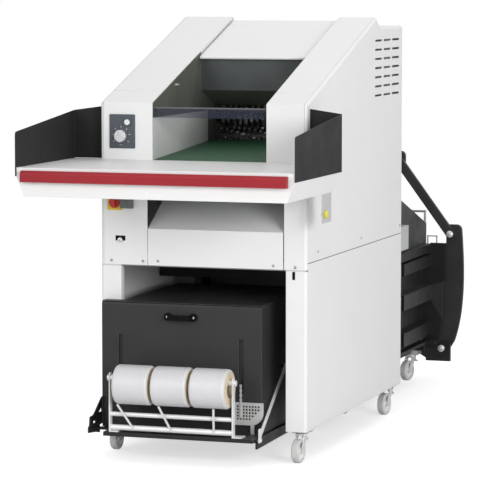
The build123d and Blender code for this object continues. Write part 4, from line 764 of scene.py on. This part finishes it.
# Strap guides behind the two slots of the cover: (name, middle X, lower end)
GUIDES = (("left", -0.344, 0.285), ("right", 0.188, 0.300))
GUIDE_HALF = 0.017
GUIDE_Y = (-1.0485, -1.0455)
GUIDE_TOP = 0.522
LIP_OFFSET = 0.0125
LIP_HALF = 0.0012
LIP_Y = (-1.0562, -1.0480)
LIP_TOP = 0.520
for tag, x, low in GUIDES:
    piece_from("slot_guide_" + tag,
               brick((x - GUIDE_HALF, GUIDE_Y[0], low), (x + GUIDE_HALF, GUIDE_Y[1], GUIDE_TOP)),
               charcoal, bevel=0.0008)
    for edge, middle in (("in", x - LIP_OFFSET), ("out", x + LIP_OFFSET)):
        piece_from("slot_guide_%s_%s" % (edge, tag),
                   brick((middle - LIP_HALF, LIP_Y[0], low), (middle + LIP_HALF, LIP_Y[1], LIP_TOP)),
                   charcoal, bevel=0.0005)

# Pale filler in the joint between each front column and the leg below it
JOINT_X = (0.3625, 0.4475)
for side, tag in SIDES:
    near, far = sorted(side * x for x in JOINT_X)
    piece_from("leg_joint_" + tag, brick((near, -0.9992, 0.7985), (far, -0.9900, 0.8040)), joint_grey)

# Stripper combs above and below the cutting rollers
comb_steel = make("comb steel", (0.055, 0.055, 0.054), rough=0.35, metal=0.6, tint=0.15, tint_scale=50,
                  grain=0.15, edge=(0.30, 0.30, 0.29), edge_radius=0.0008)
COMB_X = (-0.2165, 0.2725)
COMB_Y = (-0.196, -0.192)
COMB_PITCH = 0.0133
COMB_TOOTH_HALF = 0.0022
COMB_BACK = 0.6                               # height of the comb's back as a part of the tooth length
COMB_TAPER = 0.35                             # width of a tooth's tip as a part of its root
COMB_LEAN = 0.006


def comb(z_root, z_tip):
    def build(work):
        low_x, high_x = COMB_X
        lower, upper = sorted((z_root, z_root + (z_root - z_tip) * COMB_BACK))
        bottom, top = sorted((z_root, z_tip))
        boxes = [((low_x, COMB_Y[0], lower), (high_x, COMB_Y[1], upper))]
        for index in range(int((high_x - low_x) / COMB_PITCH)):
            middle = low_x + (index + 0.5) * COMB_PITCH
            boxes.append(((middle - COMB_TOOTH_HALF, COMB_Y[0], bottom),
                          (middle + COMB_TOOTH_HALF, COMB_Y[1], top)))
        for index, (low, high) in enumerate(boxes):
            verts, centre = add_box(work, low, high)
            for vert in verts:
                away = (vert.co.z - z_root) / (z_tip - z_root)
                if index and away > 0.5:
                    vert.co.x = centre.x + (vert.co.x - centre.x) * COMB_TAPER
                    vert.co.y += COMB_LEAN
    return build


piece_from("comb_low", comb(1.312, 1.327), comb_steel)
piece_from("comb_high", comb(1.412, 1.392), comb_steel)

# Latches on the hopper cheeks
latch_white = make("latch", (0.58, 0.60, 0.61), rough=0.35, metal=0.3, tint=0.05, tint_scale=30, grain=0.1,
                   edge=(0.75, 0.76, 0.77), edge_radius=0.001)
for side, x, tag in ((1, -0.2217, "left"), (-1, 0.2777, "right")):
    near, far = sorted((x, x + side * 0.002))
    piece_from("latch_plate_" + tag, brick((near, -0.716, 1.547), (far, -0.684, 1.556)), latch_white,
               bevel=0.0009)
    near, far = sorted((x, x + side * 0.010))
    piece_from("latch_body_" + tag, brick((near, -0.710, 1.549), (far, -0.690, 1.554)), latch_white,
               bevel=0.0016)

# Barrel lock in the front left panel: recess, body listed as (radius, height), key slot
LOCK_BODY = [(0, 0.010), (0.0085, 0.0095), (0.0105, 0.008), (0.0110, 0.0), (0, 0.0)]
piece_from("lock_recess", brick((-0.3885, -1.0012, 0.905), (-0.3445, -0.9990, 0.926)), black_plastic,
           bevel=0.0010)
piece_from("lock_body", turned(LOCK_BODY, (-0.3665, -1.0005, 0.908), (0, -1, 0), 28), zinc, smooth=True)
piece_from("lock_slot", brick((-0.3672, -1.0112, 0.9035), (-0.3658, -1.0102, 0.9125)), black_plastic,
           bevel=0.0002)


# Studio: a pale floor, a white surround and three soft lamps
FLOOR_SIZE = 40
FLOOR_GLOW = 0.60                             # seen by the camera only, so that the floor meets the white
SURROUND_LIGHT = 0.48
SURROUND_SEEN = 1.0


def largest(tree, first, second):
    node = tree.nodes.new("ShaderNodeMath")
    node.operation = "MAXIMUM"
    link(tree, first, node.inputs[0])
    link(tree, second, node.inputs[1])
    return node.outputs[0]


def lamp(name, place, aim, size, power):
    data = bpy.data.lights.new(name, "AREA")
    data.shape = "RECTANGLE"
    data.size = size[0]
    data.size_y = size[1]
    data.energy = power
    obj = bpy.data.objects.new(name, data)
    bpy.context.scene.collection.objects.link(obj)
    obj.location = place
    obj.rotation_euler = (Vector(aim) - Vector(place)).to_track_quat("-Z", "Y").to_euler()


floor_mesh = bpy.data.meshes.new("floor")
work = bmesh.new()
bmesh.ops.create_grid(work, x_segments=2, y_segments=2, size=FLOOR_SIZE)
work.to_mesh(floor_mesh)
work.free()
floor = bpy.data.objects.new("floor", floor_mesh)
bpy.context.scene.collection.objects.link(floor)
floor_mat = bpy.data.materials.new("floor pale")
floor_mat.use_nodes = True
tree = floor_mat.node_tree
shader = tree.nodes["Principled BSDF"]
shader.inputs["Roughness"].default_value = 0.9
floor_coords = tree.nodes.new("ShaderNodeTexCoord").outputs["Object"]
floor_colour = blend_colour(tree, noise(tree, floor_coords, 0.7, 3.0), (0.74, 0.74, 0.74), (0.78, 0.78, 0.78))
link(tree, floor_colour, shader.inputs["Base Color"])
floor_paths = tree.nodes.new("ShaderNodeLightPath")
glow = tree.nodes.new("ShaderNodeEmission")
link(tree, remap(tree, floor_paths.outputs["Is Camera Ray"], 0.0, 1.0, 0.0, FLOOR_GLOW),
     glow.inputs["Strength"])
both = tree.nodes.new("ShaderNodeAddShader")
link(tree, shader.outputs[0], both.inputs[0])
link(tree, glow.outputs[0], both.inputs[1])
link(tree, both.outputs[0], tree.nodes["Material Output"].inputs["Surface"])
floor_mesh.materials.append(floor_mat)

world = bpy.data.worlds.new("studio")
bpy.context.scene.world = world
world.use_nodes = True
tree = world.node_tree
background = tree.nodes["Background"]
paths = tree.nodes.new("ShaderNodeLightPath")
seen = largest(tree, paths.outputs["Is Camera Ray"], paths.outputs["Is Glossy Ray"])
seen = largest(tree, seen, paths.outputs["Is Transmission Ray"])
link(tree, remap(tree, seen, 0.0, 1.0, SURROUND_LIGHT, SURROUND_SEEN), background.inputs["Strength"])
background.inputs["Color"].default_value = (1.0, 1.0, 1.0, 1.0)

lamp("key", (-3.0, -7.2, 3.2), (0, -0.4, 0.9), (3.5, 3.0), 118)
lamp("fill", (6.8, -6.8, 2.6), (0.2, -0.2, 0.9), (4.0, 3.4), 470)
lamp("top", (0.3, 0.6, 5.5), (0.0, 0.0, 1.0), (4.0, 4.0), 58)

camera_data = bpy.data.cameras.new("camera")
camera_data.sensor_width = 36.0
camera_data.lens = 209.3
camera = bpy.data.objects.new("camera", camera_data)
bpy.context.scene.collection.objects.link(camera)
camera.location = (3.787, -11.948, 2.009)
camera_aim = Vector((-0.002, -0.5, 0.873))
camera.rotation_euler = (camera_aim - camera.location).to_track_quat("-Z", "Y").to_euler()
bpy.context.scene.camera = camera
bpy.context.scene.view_settings.view_transform = "Standard"
